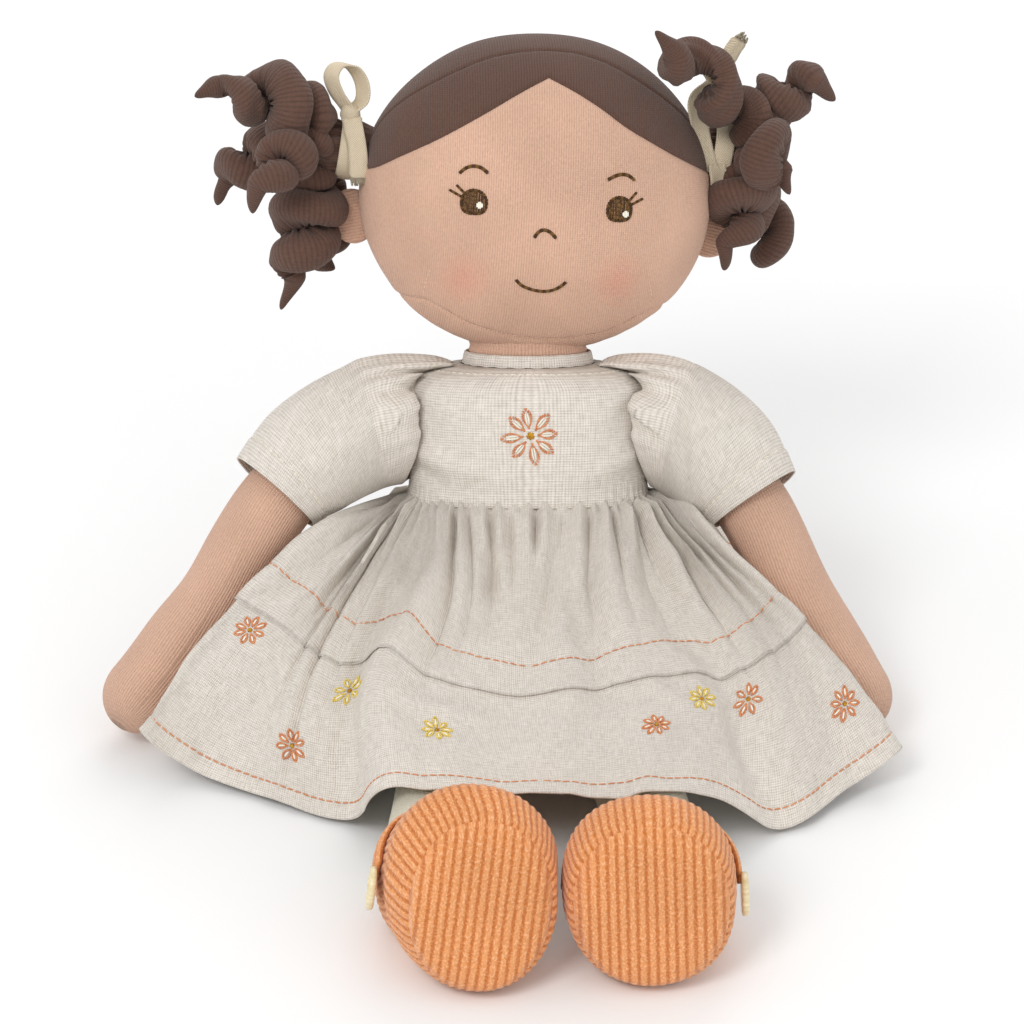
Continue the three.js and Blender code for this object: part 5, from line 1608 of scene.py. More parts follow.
class DOLL_OT_make_bodice(bpy.types.Operator):
    """Bodice and neckband: linen shaped to the body, open at the armholes and lapped at the back"""

    bl_idname = "doll.make_bodice"
    bl_label = "Bodice and neckband"

    def execute(self, context):
        columns, rows = 300, 90
        degrees = np.arange(columns) * 360 / columns
        rise = np.linspace(-0.035, 1, rows)
        grid = bodice_cloth(degrees[None, :], rise[:, None])
        height = bodice_top - waist_rise
        cloth = spots(np.linspace(0, bodice_girth, columns + 1), rise * height)
        net = Form()
        net.net(grid, cloth, wrap=True)
        quads, corners = net.faces[0], net.cloth[0]
        faces = np.concatenate([quads[:, [0, 1, 2]], quads[:, [0, 2, 3]]])
        places = np.concatenate([corners[:, [0, 1, 2]], corners[:, [0, 2, 3]]])
        points = net.points[0]
        local = torso.back(points)
        hole = np.hypot(local[:, 1] / armhole_half[1], (local[:, 2] - armhole_rise) / armhole_half[0]) - 1
        hole = np.where(np.abs(local[:, 0]) > 0.6 * bodice_half[0], hole, 1.0)
        points, faces, places = cut_away(points, faces, places, hole)
        form = Form()
        form.add_points(points)
        form.add_faces(faces, places)
        bodice = sew("linen_bodice", form, "dress_linen", "torso", ["dress_bodice"], cloth_wall)

        around = 160
        angle = ring_angles(around)
        share = np.array([-0.12, 0.0, 0.25, 0.5, 0.75, 0.93, 1.0, 0.93, 0.6])
        inside = np.array([0.3, 0.0, 0.0, 0.0, 0.0, 0.1, 0.5, 0.95, 1.1]) * MM
        ease_in = 1 * MM + cloth_wall * (2.2 - 1.2 * share) - inside
        wave = 0.15 * MM * np.sin(23 * angle)[None] * np.array([1, 1, 0.5, 0, 0, 0.3, 0.3, 0, 0])[:, None]
        centres = np.column_stack([0 * share, 0 * share, bodice_top + seam_gap + share * 3.9 * MM])
        still = np.repeat(np.eye(3)[None], len(share), 0)
        rows_of = loft(centres, neck_half[0] + ease_in, neck_half[1] + ease_in, 2, still, angle)
        rows_of[..., 2] += wave
        form = Form()
        span = run_along(rows_of[:, 0])
        form.net(torso.at(rows_of), spots(np.linspace(0, 0.125, around + 1), span), wrap=True)
        band = sew("linen_neckband", form, "dress_linen", "torso", ["dress_neckband"], neckband_wall)

        seams = Form()
        spread = np.linspace(0, 360, 240)
        line = np.column_stack([spread, np.full(240, 0.965)])
        running_stitches(seams, bodice_cloth, line, *bodice_stitch, 40)
        for edge in (-5.4, 5.4):
            angle_of = 90 + math.degrees(math.asin(edge * MM / bodice_half[0]))
            line = np.column_stack([np.full(60, angle_of), np.linspace(0.05, 0.95, 60)])
            running_stitches(seams, bodice_cloth, line, *bodice_stitch, 41)
        sew("bodice_stitching", seams, "cream_thread", "torso")

        petals, knots, fills = Form(), Form(), Form()
        middle = (0.8 * MM, 0.52)
        scale = per_mm(bodice_front, middle, MM, 0.01)
        radius = 0.85 * context.scene.doll_sizes.thread_radius
        reach = bodice_flower_reach
        flower(petals, knots, fills, bodice_front, middle, reach, scale, 8, 0.12, radius, 60)
        sew("bodice_flower", petals, "orange_thread", "torso")
        sew("bodice_flower_fill", fills, "cream_thread", "torso")
        sew("bodice_flower_knot", knots, "gold_thread", "torso")
        return {"FINISHED"}


# Sleeves: where the hem lies along the arm, and how full the sleeve is from armhole to hem
sleeve_hem_share = 0.39
sleeve_full_shares = [[0, 0], [0.1, 0.8], [0.4, 1], [0.72, 0.8], [1, 0]]
# Creases of the sleeves: angle in degrees and share at each end, width in mm, height in mm
sleeve_creases = {
    "right": [
        (60, 0.1, 110, 0.5, 3.5, -1.0), (150, 0.05, 200, 0.55, 4.0, 1.1), (185, 0.1, 235, 0.7, 3.5, -1.2),
        (300, 0.1, 330, 0.8, 4.5, 0.9), (20, 0.2, 30, 0.85, 5.0, 0.8),
    ],
    "left": [
        (70, 0.1, 105, 0.55, 3.5, -1.0), (195, 0.1, 250, 0.7, 3.5, -1.2), (150, 0.05, 190, 0.5, 4.0, 1.0),
        (320, 0.1, 290, 0.8, 4.5, 0.9), (30, 0.2, 25, 0.85, 5.0, 0.8),
    ],
}


def bodice_side(y, z):
    """Half the bodice's width at a depth and height, in the torso's axes."""
    rise = (z - waist_rise) / (bodice_top - waist_rise)
    wide, deep, power = (smoothly(rise, bodice_shares, k) for k in (1, 2, 3))
    inside = 1 - np.minimum(np.abs(y) / (deep * bodice_half[1]), 1) ** power
    return wide * bodice_half[0] * inside ** (1 / power)


def slerp_turns(first, second, shares):
    """Matrices between two turns, the short way."""
    change = first.T @ second
    angle = math.acos(max(-1.0, min(1.0, (np.trace(change) - 1) / 2)))
    axis = np.array([change[2, 1] - change[1, 2], change[0, 2] - change[2, 0], change[1, 0] - change[0, 1]])
    x, y, z = axis / np.linalg.norm(axis)
    cross = np.array([[0, -z, y], [z, 0, -x], [-y, x, 0]])
    a = (np.asarray(shares, float) * angle)[:, None, None]
    return first @ (np.eye(3) + np.sin(a) * cross + (1 - np.cos(a)) * (cross @ cross))


def sleeve_cloth(label):
    """A function giving places on a sleeve by angle in degrees, share from armhole to hem and lift."""
    side = sides[label]
    line = arm_line(label)
    hem, down, _ = evenly(line, [sleeve_hem_share])
    hem = hem[0] + np.array([side * 0.1 * arm_radius, 0, 0.15 * arm_radius])
    start = torso.at((side * (bodice_half[0] + seam_gap), 0, armhole_rise))
    puff = (start + hem) / 2 + np.array([0, 0, 2 * sleeve_lift])
    outward = turn_y(90 * side)
    inline = turned_to(down[0])[0]

    def cloth(degrees, along, lift=0.0):
        shape, degrees, along = in_step(degrees, along)
        fullness = smoothly(along, sleeve_full_shares, 1)
        straight = [size + (sleeve_hem - size) * along for size in armhole_half]
        high, deep = (s + (sleeve_puff - s) * fullness for s in straight)
        turns = slerp_turns(outward, inline, along)
        angle = np.radians(degrees)
        up = -np.cos(angle) * side
        top = ease(0.15, 0.85, up)
        start_in = ease(0.0, 0.05, along)
        pleat = np.sin(angle * 15 + 1.8 * np.sin(angle * 4)) * top * (1 - ease(0.06, 0.5, along)) * start_in
        small = 0.3 * MM * np.sin(angle * 31) * mound(along, 0.04, 0.08) * top
        puffed = 2.6 * MM * top * mound(along, 0.2, 0.16)
        soft = 0.5 * MM * drift(31 + side, 5, 2 * np.cos(angle), 2 * np.sin(angle), 4 * along)
        folds = crease_lift(degrees % 360, along, sleeve_creases[label], TURN * 20 * MM / 360, 55 * MM)
        turned = 0.4 * MM * ease(0.9, 0.905, along) - 0.25 * MM * mound(along, 0.895, 0.008)
        hem_wave = 0.5 * MM * np.sin(angle * 3 + side) * ease(0.6, 1, along)
        seam = 0.2 * MM * mound(along, 0, 0.02)
        calm = ease(0.0, 0.06, along)
        push = (soft + folds) * calm + 1.1 * MM * pleat + small + puffed + turned + hem_wave + seam + lift
        flat = np.stack([(high + push) * np.cos(angle), (deep + push) * np.sin(angle), 0 * angle], -1)
        points = np.einsum("nij,nj->ni", turns, flat) + bezier(start, puff, hem, along)
        local = torso.back(points)
        sewn = bodice_side(local[:, 1], local[:, 2]) - bodice_half[0] - 0.6 * MM
        local[:, 0] += side * sewn * (1 - ease(0, 0.3, along))
        return torso.at(local).reshape(*shape, 3)

    return cloth


class DOLL_OT_make_sleeves(bpy.types.Operator):
    """Sleeves: gathered into the armholes, puffed over the shoulder and hemmed"""

    bl_idname = "doll.make_sleeves"
    bl_label = "Sleeves"

    def execute(self, context):
        columns = 240
        along = np.concatenate([
            np.linspace(0, 0.3, 34), np.linspace(0.31, 0.88, 36), np.linspace(0.885, 1.0, 20),
        ])
        degrees = np.arange(columns) * 360 / columns
        for label, side in sides.items():
            surface = sleeve_cloth(label)
            grid = surface(degrees[None, :], along[:, None])
            cloth = spots(np.linspace(0, TURN * 22 * MM, columns + 1), along * 60 * MM)
            form = Form()
            form.net(grid, cloth, wrap=True)
            name = f"{label}_sleeve"
            sleeve = sew("linen_" + name, form, "dress_linen", None, [name], cloth_wall)
            seams = Form()
            spread = np.linspace(0, 360, 200)
            line = np.column_stack([spread, np.full(200, 0.895)])
            running_stitches(seams, surface, line, 1.9 * MM, 0.8 * MM, 0.22 * MM, 70 + side, wander=0.002)
            hem = sew(f"{label}_sleeve_stitching", seams, "cream_thread", None)
            for made in (sleeve, hem):
                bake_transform(made)
        return {"FINISHED"}


# Skirt: angle at the waist from the front middle, then lap, knee and hem as shares of its length
skirt_shares = [
    [0, 0, -0.28, 0.395, 0.015, -0.637, 0.3, 0.037, -0.95, 0.25],
    [22, 0.133, -0.267, 0.4, 0.178, -0.607, 0.3, 0.178, -0.95, 0.24],
    [40, 0.237, -0.237, 0.395, 0.326, -0.563, 0.285, 0.296, -0.92, 0.235],
    [55, 0.34, -0.2, 0.385, 0.46, -0.5, 0.25, 0.43, -0.837, 0.155],
    [68, 0.42, -0.17, 0.39, 0.57, -0.44, 0.245, 0.622, -0.75, 0.024],
    [80, 0.46, -0.15, 0.415, 0.65, -0.39, 0.27, 0.763, -0.62, 0.04],
    [90, 0.489, -0.13, 0.435, 0.71, -0.345, 0.32, 0.905, -0.51, 0.094],
    [98, 0.44, 0.03, 0.37, 0.6, -0.22, 0.21, 0.69, -0.42, 0.024],
    [108, 0.4, 0.12, 0.31, 0.55, -0.04, 0.13, 0.65, -0.17, 0.02],
    [120, 0.385, 0.19, 0.28, 0.53, 0.16, 0.09, 0.66, 0.16, 0.02],
    [138, 0.326, 0.34, 0.27, 0.46, 0.43, 0.075, 0.62, 0.6, 0.02],
    [158, 0.178, 0.43, 0.27, 0.27, 0.61, 0.075, 0.36, 0.88, 0.02],
    [180, 0, 0.46, 0.27, 0, 0.67, 0.075, 0, 0.97, 0.02],
    [202, -0.178, 0.43, 0.27, -0.27, 0.61, 0.075, -0.36, 0.88, 0.02],
    [222, -0.326, 0.34, 0.27, -0.46, 0.43, 0.075, -0.62, 0.6, 0.02],
    [240, -0.385, 0.19, 0.28, -0.53, 0.16, 0.09, -0.66, 0.16, 0.02],
    [252, -0.4, 0.12, 0.31, -0.56, -0.03, 0.13, -0.69, -0.1, 0.02],
    [262, -0.44, 0.05, 0.385, -0.64, -0.17, 0.2, -0.76, -0.36, 0.024],
    [270, -0.474, -0.06, 0.472, -0.75, -0.3, 0.325, -0.94, -0.525, 0.15],
    [280, -0.45, -0.13, 0.43, -0.66, -0.37, 0.265, -0.82, -0.54, 0.05],
    [292, -0.41, -0.16, 0.39, -0.56, -0.45, 0.22, -0.622, -0.63, 0.024],
    [305, -0.34, -0.2, 0.385, -0.45, -0.52, 0.235, -0.452, -0.72, 0.024],
    [320, -0.237, -0.237, 0.395, -0.326, -0.59, 0.285, -0.3, -0.91, 0.235],
    [338, -0.133, -0.267, 0.4, -0.178, -0.62, 0.3, -0.119, -0.945, 0.245],
]
stations = len(skirt_shares)
tuck_stitch_share, tuck_edge_share, hem_stitch_share = 0.52, 0.62, 0.955


def skirt_frames():
    """Rows of places round the skirt: the waist and three more down to the hem."""
    angle = np.radians([row[0] for row in skirt_shares])
    _, wide, deep, power = bodice_shares[0]
    waist = np.stack([
        bodice_half[0] * wide * squared(np.sin(angle), power),
        -bodice_half[1] * deep * squared(np.cos(angle), power),
        np.full(len(angle), waist_rise - seam_gap),
    ], -1)
    table = np.array(skirt_shares)
    return [torso.at(waist)] + [table[:, 3 * k - 2:3 * k + 1] * skirt_length for k in (1, 2, 3)]


skirt_rows = skirt_frames()


def skirt_base(stations_round, down):
    """The skirt's plain shape, by stations round it and share from waist to hem."""
    around = (np.asarray(stations_round, float) / stations) % 1
    across = np.stack([spline(row, around, closed=True) for row in skirt_rows])
    return spline(across, down)


# Named folds of the skirt: stations round and share down at each end, width and height in mm
skirt_creases = [
    (-2.5, 0.1, -3.0, 0.5, 5.0, -3.0), (-3.05, 0.4, -2.95, 1.02, 6.0, -5.0), (-2.3, 0.2, -2.4, 0.7, 6.5, 2.6),
    (-3.9, 0.25, -4.2, 0.9, 9.0, 1.5), (2.8, 0.15, 2.97, 0.6, 5.5, -2.6), (3.0, 0.55, 3.9, 1.02, 6.0, -4.6),
    (2.3, 0.3, 2.4, 0.7, 6.5, 1.8), (3.7, 0.3, 4.2, 0.75, 8.0, 1.5), (0.5, 0.06, 1.02, 0.66, 4.5, -2.2),
    (-1.9, 0.66, -0.6, 0.74, 4.5, 1.4), (1.6, 0.62, 2.6, 0.72, 4.0, 1.4), (-0.9, 0.12, -0.6, 0.45, 4.0, -1.6),
]
# How far the tuck's stitching is pulled up or down by the folds, as a share of the skirt's length
tuck_pull_shares = [
    (-12, 0.0), (-6.5, 0.0), (-5.3, -0.035), (-4.5, -0.05), (-3.4, -0.05), (-2.8, -0.1), (-2.4, -0.095),
    (-1.6, -0.03), (-0.8, 0.015), (0.1, 0.03), (1.0, 0.015), (2.9, -0.015), (3.3, 0.01), (5.3, 0.0),
    (12, 0.0),
]


def skirt_folds(stations_round, down):
    """How far the gathers and folds stand off the plain shape."""
    sizes = bpy.context.scene.doll_sizes
    turn = TURN * stations_round / stations
    before = ease(-0.2, 0.2, np.cos(turn))
    calm = 1 - 0.75 * ease(0.35, 0.6, down) * before
    base = sizes.fold * np.sin(TURN * 0.75 * stations_round) * np.sin(math.pi * 0.55 * down) * calm
    jitter = 1.5 * drift(81, 4, 4 * np.cos(turn), 4 * np.sin(turn))
    fine = np.abs(np.cos(15 * turn + math.pi * jitter)) ** 0.6 * 2 - 1.1
    strong = 1.0 + 0.75 * drift(82, 4, 7 * np.cos(turn), 7 * np.sin(turn))
    reach = 0.34 + 0.2 * drift(85, 4, 7 * np.cos(turn), 7 * np.sin(turn))
    fade = (0.15 + 0.85 * ease(0, 0.07, down)) * (1 - ease(0.3 * reach, 1.8 * reach, down))
    gathers = sizes.gather * fine * strong * fade
    small = 0.3 * sizes.gather * np.sin(31 * turn * 2 + TURN * jitter) * (1 - ease(0.05, 0.3, down))
    sway = 0.9 * drift(83, 4, 3 * np.cos(turn), 3 * np.sin(turn), 2.2 * down)
    middle = np.abs(np.cos(10.5 * turn + math.pi * sway)) * 2 - 1
    flattened = 1 - 0.85 * ease(0.4 - 0.1 * before, 0.8 - 0.2 * before, down)
    body = 1.3 * sizes.fold * middle * ease(0.05, 0.3, down) * flattened
    soft = 1.1 * MM * drift(84, 6, 6 * np.cos(turn), 6 * np.sin(turn), 8 * down)
    crumple = 0.35 * MM * drift(86, 6, 24 * np.cos(turn), 24 * np.sin(turn), 22 * down)
    side = (stations_round + stations / 2) % stations - stations / 2
    named = crease_lift(side, down, skirt_creases, 22 * MM, skirt_length)
    return base + gathers + small + body + (soft + crumple) * ease(0.05, 0.25, down) + named


def skirt_layer(down):
    """The tuck stands off below its stitching, and the hem is turned up double."""
    sizes = bpy.context.scene.doll_sizes
    tuck = sizes.tuck * ease(tuck_stitch_share, tuck_edge_share, down) * (down <= tuck_edge_share + 1e-9)
    pinch = -0.35 * MM * mound(down, tuck_stitch_share, 0.006)
    hem_pinch = 0.2 * MM * mound(down, hem_stitch_share, 0.004)
    hem = 0.3 * MM * ease(hem_stitch_share, hem_stitch_share + 0.004, down)
    return tuck + (pinch - hem_pinch) + hem


def skirt_cloth(stations_round, down, lift=0.0, layer=None):
    """Places on the finished skirt."""
    shape, a, b = in_step(stations_round, down)
    step = 0.02
    stitched = b
    side = (a + stations / 2) % stations - stations / 2
    near_tuck = np.where(b < tuck_stitch_share, b / tuck_stitch_share, (1 - b) / (1 - tuck_stitch_share))
    b = b + smoothly(side, tuck_pull_shares, 1) * ease(0, 1, near_tuck)
    here = skirt_base(a, b)
    across = skirt_base(a + step, b) - skirt_base(a - step, b)
    along = skirt_base(a, np.minimum(1, b + step)) - skirt_base(a, np.maximum(0, b - step))
    outward = unit(np.cross(along, across))
    layer = skirt_layer(stitched) if layer is None else np.broadcast_to(layer, shape).ravel()
    off = skirt_folds(a, b) + layer
    points = here + outward * (off + lift)[:, None]
    points[:, 2] = np.maximum(points[:, 2], 0.9 * MM)
    return points.reshape(*shape, 3)


# Flowers on the skirt: stations round, share down, how many petals, their turn and their thread
skirt_flowers = [
    (-5.4, 0.66, 8, 0.1, "orange"), (-3.84, 0.84, 8, 0.4, "orange"), (-3.08, 0.68, 7, 0.2, "yellow"),
    (-1.31, 0.78, 8, 0.0, "yellow"), (1.84, 0.775, 8, 0.3, "orange"), (2.69, 0.69, 8, 0.1, "yellow"),
    (3.62, 0.69, 7, 0.5, "orange"), (5.47, 0.83, 8, 0.2, "orange"),
]


class DOLL_OT_make_skirt(bpy.types.Operator):
    """Skirt: gathered at the waist, tucked, hemmed, stitched in orange and embroidered"""

    bl_idname = "doll.make_skirt"
    bl_label = "Skirt"

    def execute(self, context):
        sizes = context.scene.doll_sizes
        columns = 768
        upper = np.concatenate([np.linspace(0, 0.1, 16), np.linspace(0.11, tuck_stitch_share - 0.01, 50)])
        tucked = np.linspace(tuck_stitch_share - 0.005, tuck_edge_share, 14)
        lower = np.concatenate([
            np.linspace(tuck_edge_share + 0.012, hem_stitch_share - 0.008, 36),
            np.linspace(hem_stitch_share - 0.004, 1, 10),
        ])
        under = np.array([tuck_edge_share - 0.002, tuck_edge_share - 0.016])
        down = np.concatenate([upper, tucked, under, lower])
        layer = np.concatenate([
            skirt_layer(upper), skirt_layer(tucked), np.array([0.55, 0.05]) * sizes.tuck, skirt_layer(lower),
        ])
        a = np.arange(columns) * stations / columns
        grid = skirt_cloth(a[None, :], down[:, None], 0.0, layer[:, None] + 0 * a[None, :])
        cloth = spots(np.linspace(0, 0.75, columns + 1), down * 0.15)
        form = Form()
        form.net(grid, cloth, wrap=True, flip=True)
        halves = ["skirt_front", "skirt_back"]
        pieces = [sew("linen_skirt", form, "dress_linen", None, halves, cloth_wall)]

        seams = Form()
        spread = np.linspace(0, stations, 1200)
        for number, share in enumerate((tuck_stitch_share, hem_stitch_share)):
            line = np.column_stack([spread, np.full(1200, share)])
            running_stitches(
                seams, skirt_cloth, line, sizes.stitch, sizes.stitch_gap, 0.24 * MM, 90 + number,
                lift=0.2 * MM, wander=0.0012,
            )
        pieces.append(sew("skirt_stitching", seams, "orange_thread", None))

        forms = {"orange": Form(), "yellow": Form()}
        knots, fills = Form(), Form()
        for number, (a0, b0, petals, turn, colour) in enumerate(skirt_flowers):
            scale = per_mm(skirt_cloth, (a0, b0), 0.03, -0.01)
            flower(
                forms[colour], knots, fills, skirt_cloth, (a0, b0), skirt_flower_reach, scale, petals,
                turn, sizes.thread_radius, 100 + number,
            )
        for colour, form in forms.items():
            pieces.append(sew(f"{colour}_skirt_flowers", form, f"{colour}_thread", None))
        pieces.append(sew("skirt_flower_fill", fills, "cream_thread", None))
        pieces.append(sew("skirt_flower_knots", knots, "gold_thread", None))
        for made in pieces:
            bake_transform(made)
        return {"FINISHED"}


# Buttons: how high the top stands, as a share of the thickness, at each share of the radius
button_shares = [[0.0, 0.62], [0.55, 0.6], [0.68, 0.7], [0.8, 1.0], [0.9, 1.0], [0.97, 0.85], [1.0, 0.5]]


def button_form(middle, outward, upward, radius, thickness):
    """A sewn button: a raised rim, a dished face and holes, crossed by thread."""
    outward = unit(np.asarray(outward, float))
    upward = unit(np.asarray(upward, float) - outward * (np.asarray(upward, float) @ outward))
    right = np.cross(upward, outward)
    top = np.linspace(0.02, 0.97, 44)
    q = np.concatenate([top, [1.0, 0.97, 0.88, 0.5]])
    rise = np.concatenate([smoothly(top, button_shares, 1), [0.5, 0.12, 0.0, 0.0]]) * thickness
    around = 72
    angle = ring_angles(around)
    x, y = q[:, None] * radius * np.cos(angle), q[:, None] * radius * np.sin(angle)
    height = rise[:, None] + 0 * x
    spots_at = [(0.27 * radius * sx, 0.27 * radius * sy) for sx in (-1, 1) for sy in (-1, 1)]
    for hx, hy in spots_at:
        hole = 1 - ease(0.09 * radius, 0.16 * radius, np.hypot(x - hx, y - hy))
        height[:len(top)] -= (hole * 0.55 * thickness)[:len(top)]
    rows = (middle + x[..., None] * right + y[..., None] * upward + height[..., None] * outward)[::-1]
    form = Form()
    cloth = round_spots(x, y)[::-1]
    form.tube(rows, cloth, middle)
    strings = Form()
    for (ax, ay), (bx, by) in ((spots_at[0], spots_at[3]), (spots_at[1], spots_at[2])):
        for shift in (-0.25 * MM, 0.25 * MM):
            a = middle + right * (ax + shift) + upward * (ay - shift) + outward * 0.62 * thickness
            b = middle + right * (bx + shift) + upward * (by - shift) + outward * 0.62 * thickness
            strings.threads(a, b, outward, button_thread, 0.7, lift=1.0)
    return form, strings


class DOLL_OT_make_back_buttons(bpy.types.Operator):
    """Back buttons of the bodice, sewn on the placket"""

    bl_idname = "doll.make_back_buttons"
    bl_label = "Back buttons"

    def execute(self, context):
        for name, share in {"back_button_top": 0.72, "back_button_bottom": 0.28}.items():
            middle = bodice_cloth(90.0, share, 0.2 * MM).reshape(3)
            outward = torso.along((0, 1, 0))
            form, strings = button_form(middle, outward, torso.along((0, 0, 1)), *back_button)
            sew("dished_" + name, form, "button_ivory", "torso", [name])
            sew(name + "_thread", strings, "cream_thread", "torso")
        return {"FINISHED"}


# Legs and shoes: girth along the leg as shares of its radius, and the shoe's shape forward
leg_shares = [[0, 0.24], [0.06, 0.42], [0.2, 0.9], [0.45, 0.98], [0.75, 0.94], [1, 0.97]]
upper_shares = [
    # forward, height, half width, half height, lean
    [0, 0.52, 0.545, 0.49, 0], [0.16, 0.6, 0.66, 0.6, 0.1], [0.36, 0.8, 0.87, 0.82, 0.4],
    [0.62, 0.95, 0.985, 0.965, 0.8], [0.86, 0.985, 1.0, 1.0, 1], [1.0, 0.985, 0.95, 0.955, 1],
]
sole_shares = [[0, 1.15], [0.22, 1.12], [0.62, 0.92], [0.84, 0.6], [0.955, 0.0]]
ankle_share = 0.625
shoe_square = 2.15


def leg_place(label):
    """Axes of a leg, z running from the hip to the ankle."""
    leg = legs[label]
    return Place(turn_z(leg["yaw"]) @ turn_x(90), (leg["hip"], -0.7 * torso_half[1] - seam_gap, hip_rise))


def shoe_place(label):
    """Axes of a shoe, z running forward from the ankle."""
    ankle = leg_place(label).at((0, 0, leg_length))
    leg = legs[label]
    return Place(turn_y(leg["roll"]) @ turn_x(90), (leg["shoe"], ankle[1] - seam_gap, -0.5 * MM))


def pressed(points, label):
    """Keeps a shoe above the floor and on its side of the plane where the two shoes touch."""
    side = sides[label]
    soft = 1.2 * MM
    points = np.array(points, float)
    over = side * (points[..., 0] - shoe_midline) - 0.15 * MM
    held = np.where(over < soft, soft * np.exp(np.minimum(over, soft) / soft - 1), over)
    points[..., 0] += side * (held - over)
    points[..., 2] = np.maximum(points[..., 2], 0)
    return points


def upper_cloth(label):
    """Places on a shoe's upper, by angle, share forward from the ankle and lift."""
    shoe = shoe_place(label)
    ankle = shoe.back(leg_place(label).at((0, 0, leg_length)))
    lean, sole = legs[label]["lean"], soles[label]

    def cloth(angle, forward, lift=0.0):
        shape, angle, forward = in_step(angle, forward)
        height, wide, tall, leaning = (smoothly(forward, upper_shares, k) for k in (1, 2, 3, 4))
        at_ankle = np.maximum(0, 1 - forward / ankle_share)
        up = height * shoe_half[1] * (1 - at_ankle) + ankle[1] * at_ankle
        tilt = np.radians(-lean * leaning)
        drawn = ease(0.62, 1.0, forward) ** 1.6
        low = sole["low"] * ease(0.2, 0.8, forward)
        wide, tall = wide * (1 - (1 - sole["wide"]) * drawn), tall * (1 - (1 - sole["tall"]) * drawn)
        x = (shoe_half[0] * wide + lift) * squared(np.cos(angle), shoe_square)
        y = (shoe_half[1] * tall * (1 - low) + lift) * squared(np.sin(angle), shoe_square)
        x, y = x + sole["right"] * drawn, y + sole["up"] * drawn - low * shoe_half[1]
        local = np.stack([
            ankle[0] * at_ankle + x, up + y * np.cos(tilt), forward * shoe_depth + y * np.sin(tilt),
        ], -1)
        return shoe.at(local).reshape(*shape, 3)

    return cloth


class DOLL_OT_make_legs(bpy.types.Operator):
    """Legs: stuffed tubes of cream rib knit from the hip to the shoe"""

    bl_idname = "doll.make_legs"
    bl_label = "Legs"

    def execute(self, context):
        rows, around = 120, 72
        angle = ring_angles(around)
        share = np.linspace(0, 1.03, rows)
        for label, side in sides.items():
            place = leg_place(label)
            radius = leg_radius * smoothly(np.minimum(share, 1), leg_shares, 1)
            soft = 0.35 * MM * drift(17 + side, 5, share[:, None] * 11, np.cos(angle)[None] * 1.5)
            crease = 0.3 * MM * np.cos(share * 70)[:, None] * ease(0.85, 0.97, share)[:, None]
            ring = radius[:, None] + (soft + crease) * ease(0.1, 0.3, share)[:, None]
            z = np.broadcast_to((share * leg_length)[:, None], ring.shape)
            points = place.at(np.stack([ring * np.cos(angle), ring * np.sin(angle), z], -1))
            cloth = spots(np.linspace(0, TURN * leg_radius, around + 1), share * leg_length)[..., ::-1]
            form = Form()
            form.tube(points, cloth)
            body = f"{label}_leg"
            stands_for = [f"{body}_skin", f"{body}_filling"]
            sew(f"stuffed_{body}", form, "tights_rib", body, stands_for)
        return {"FINISHED"}


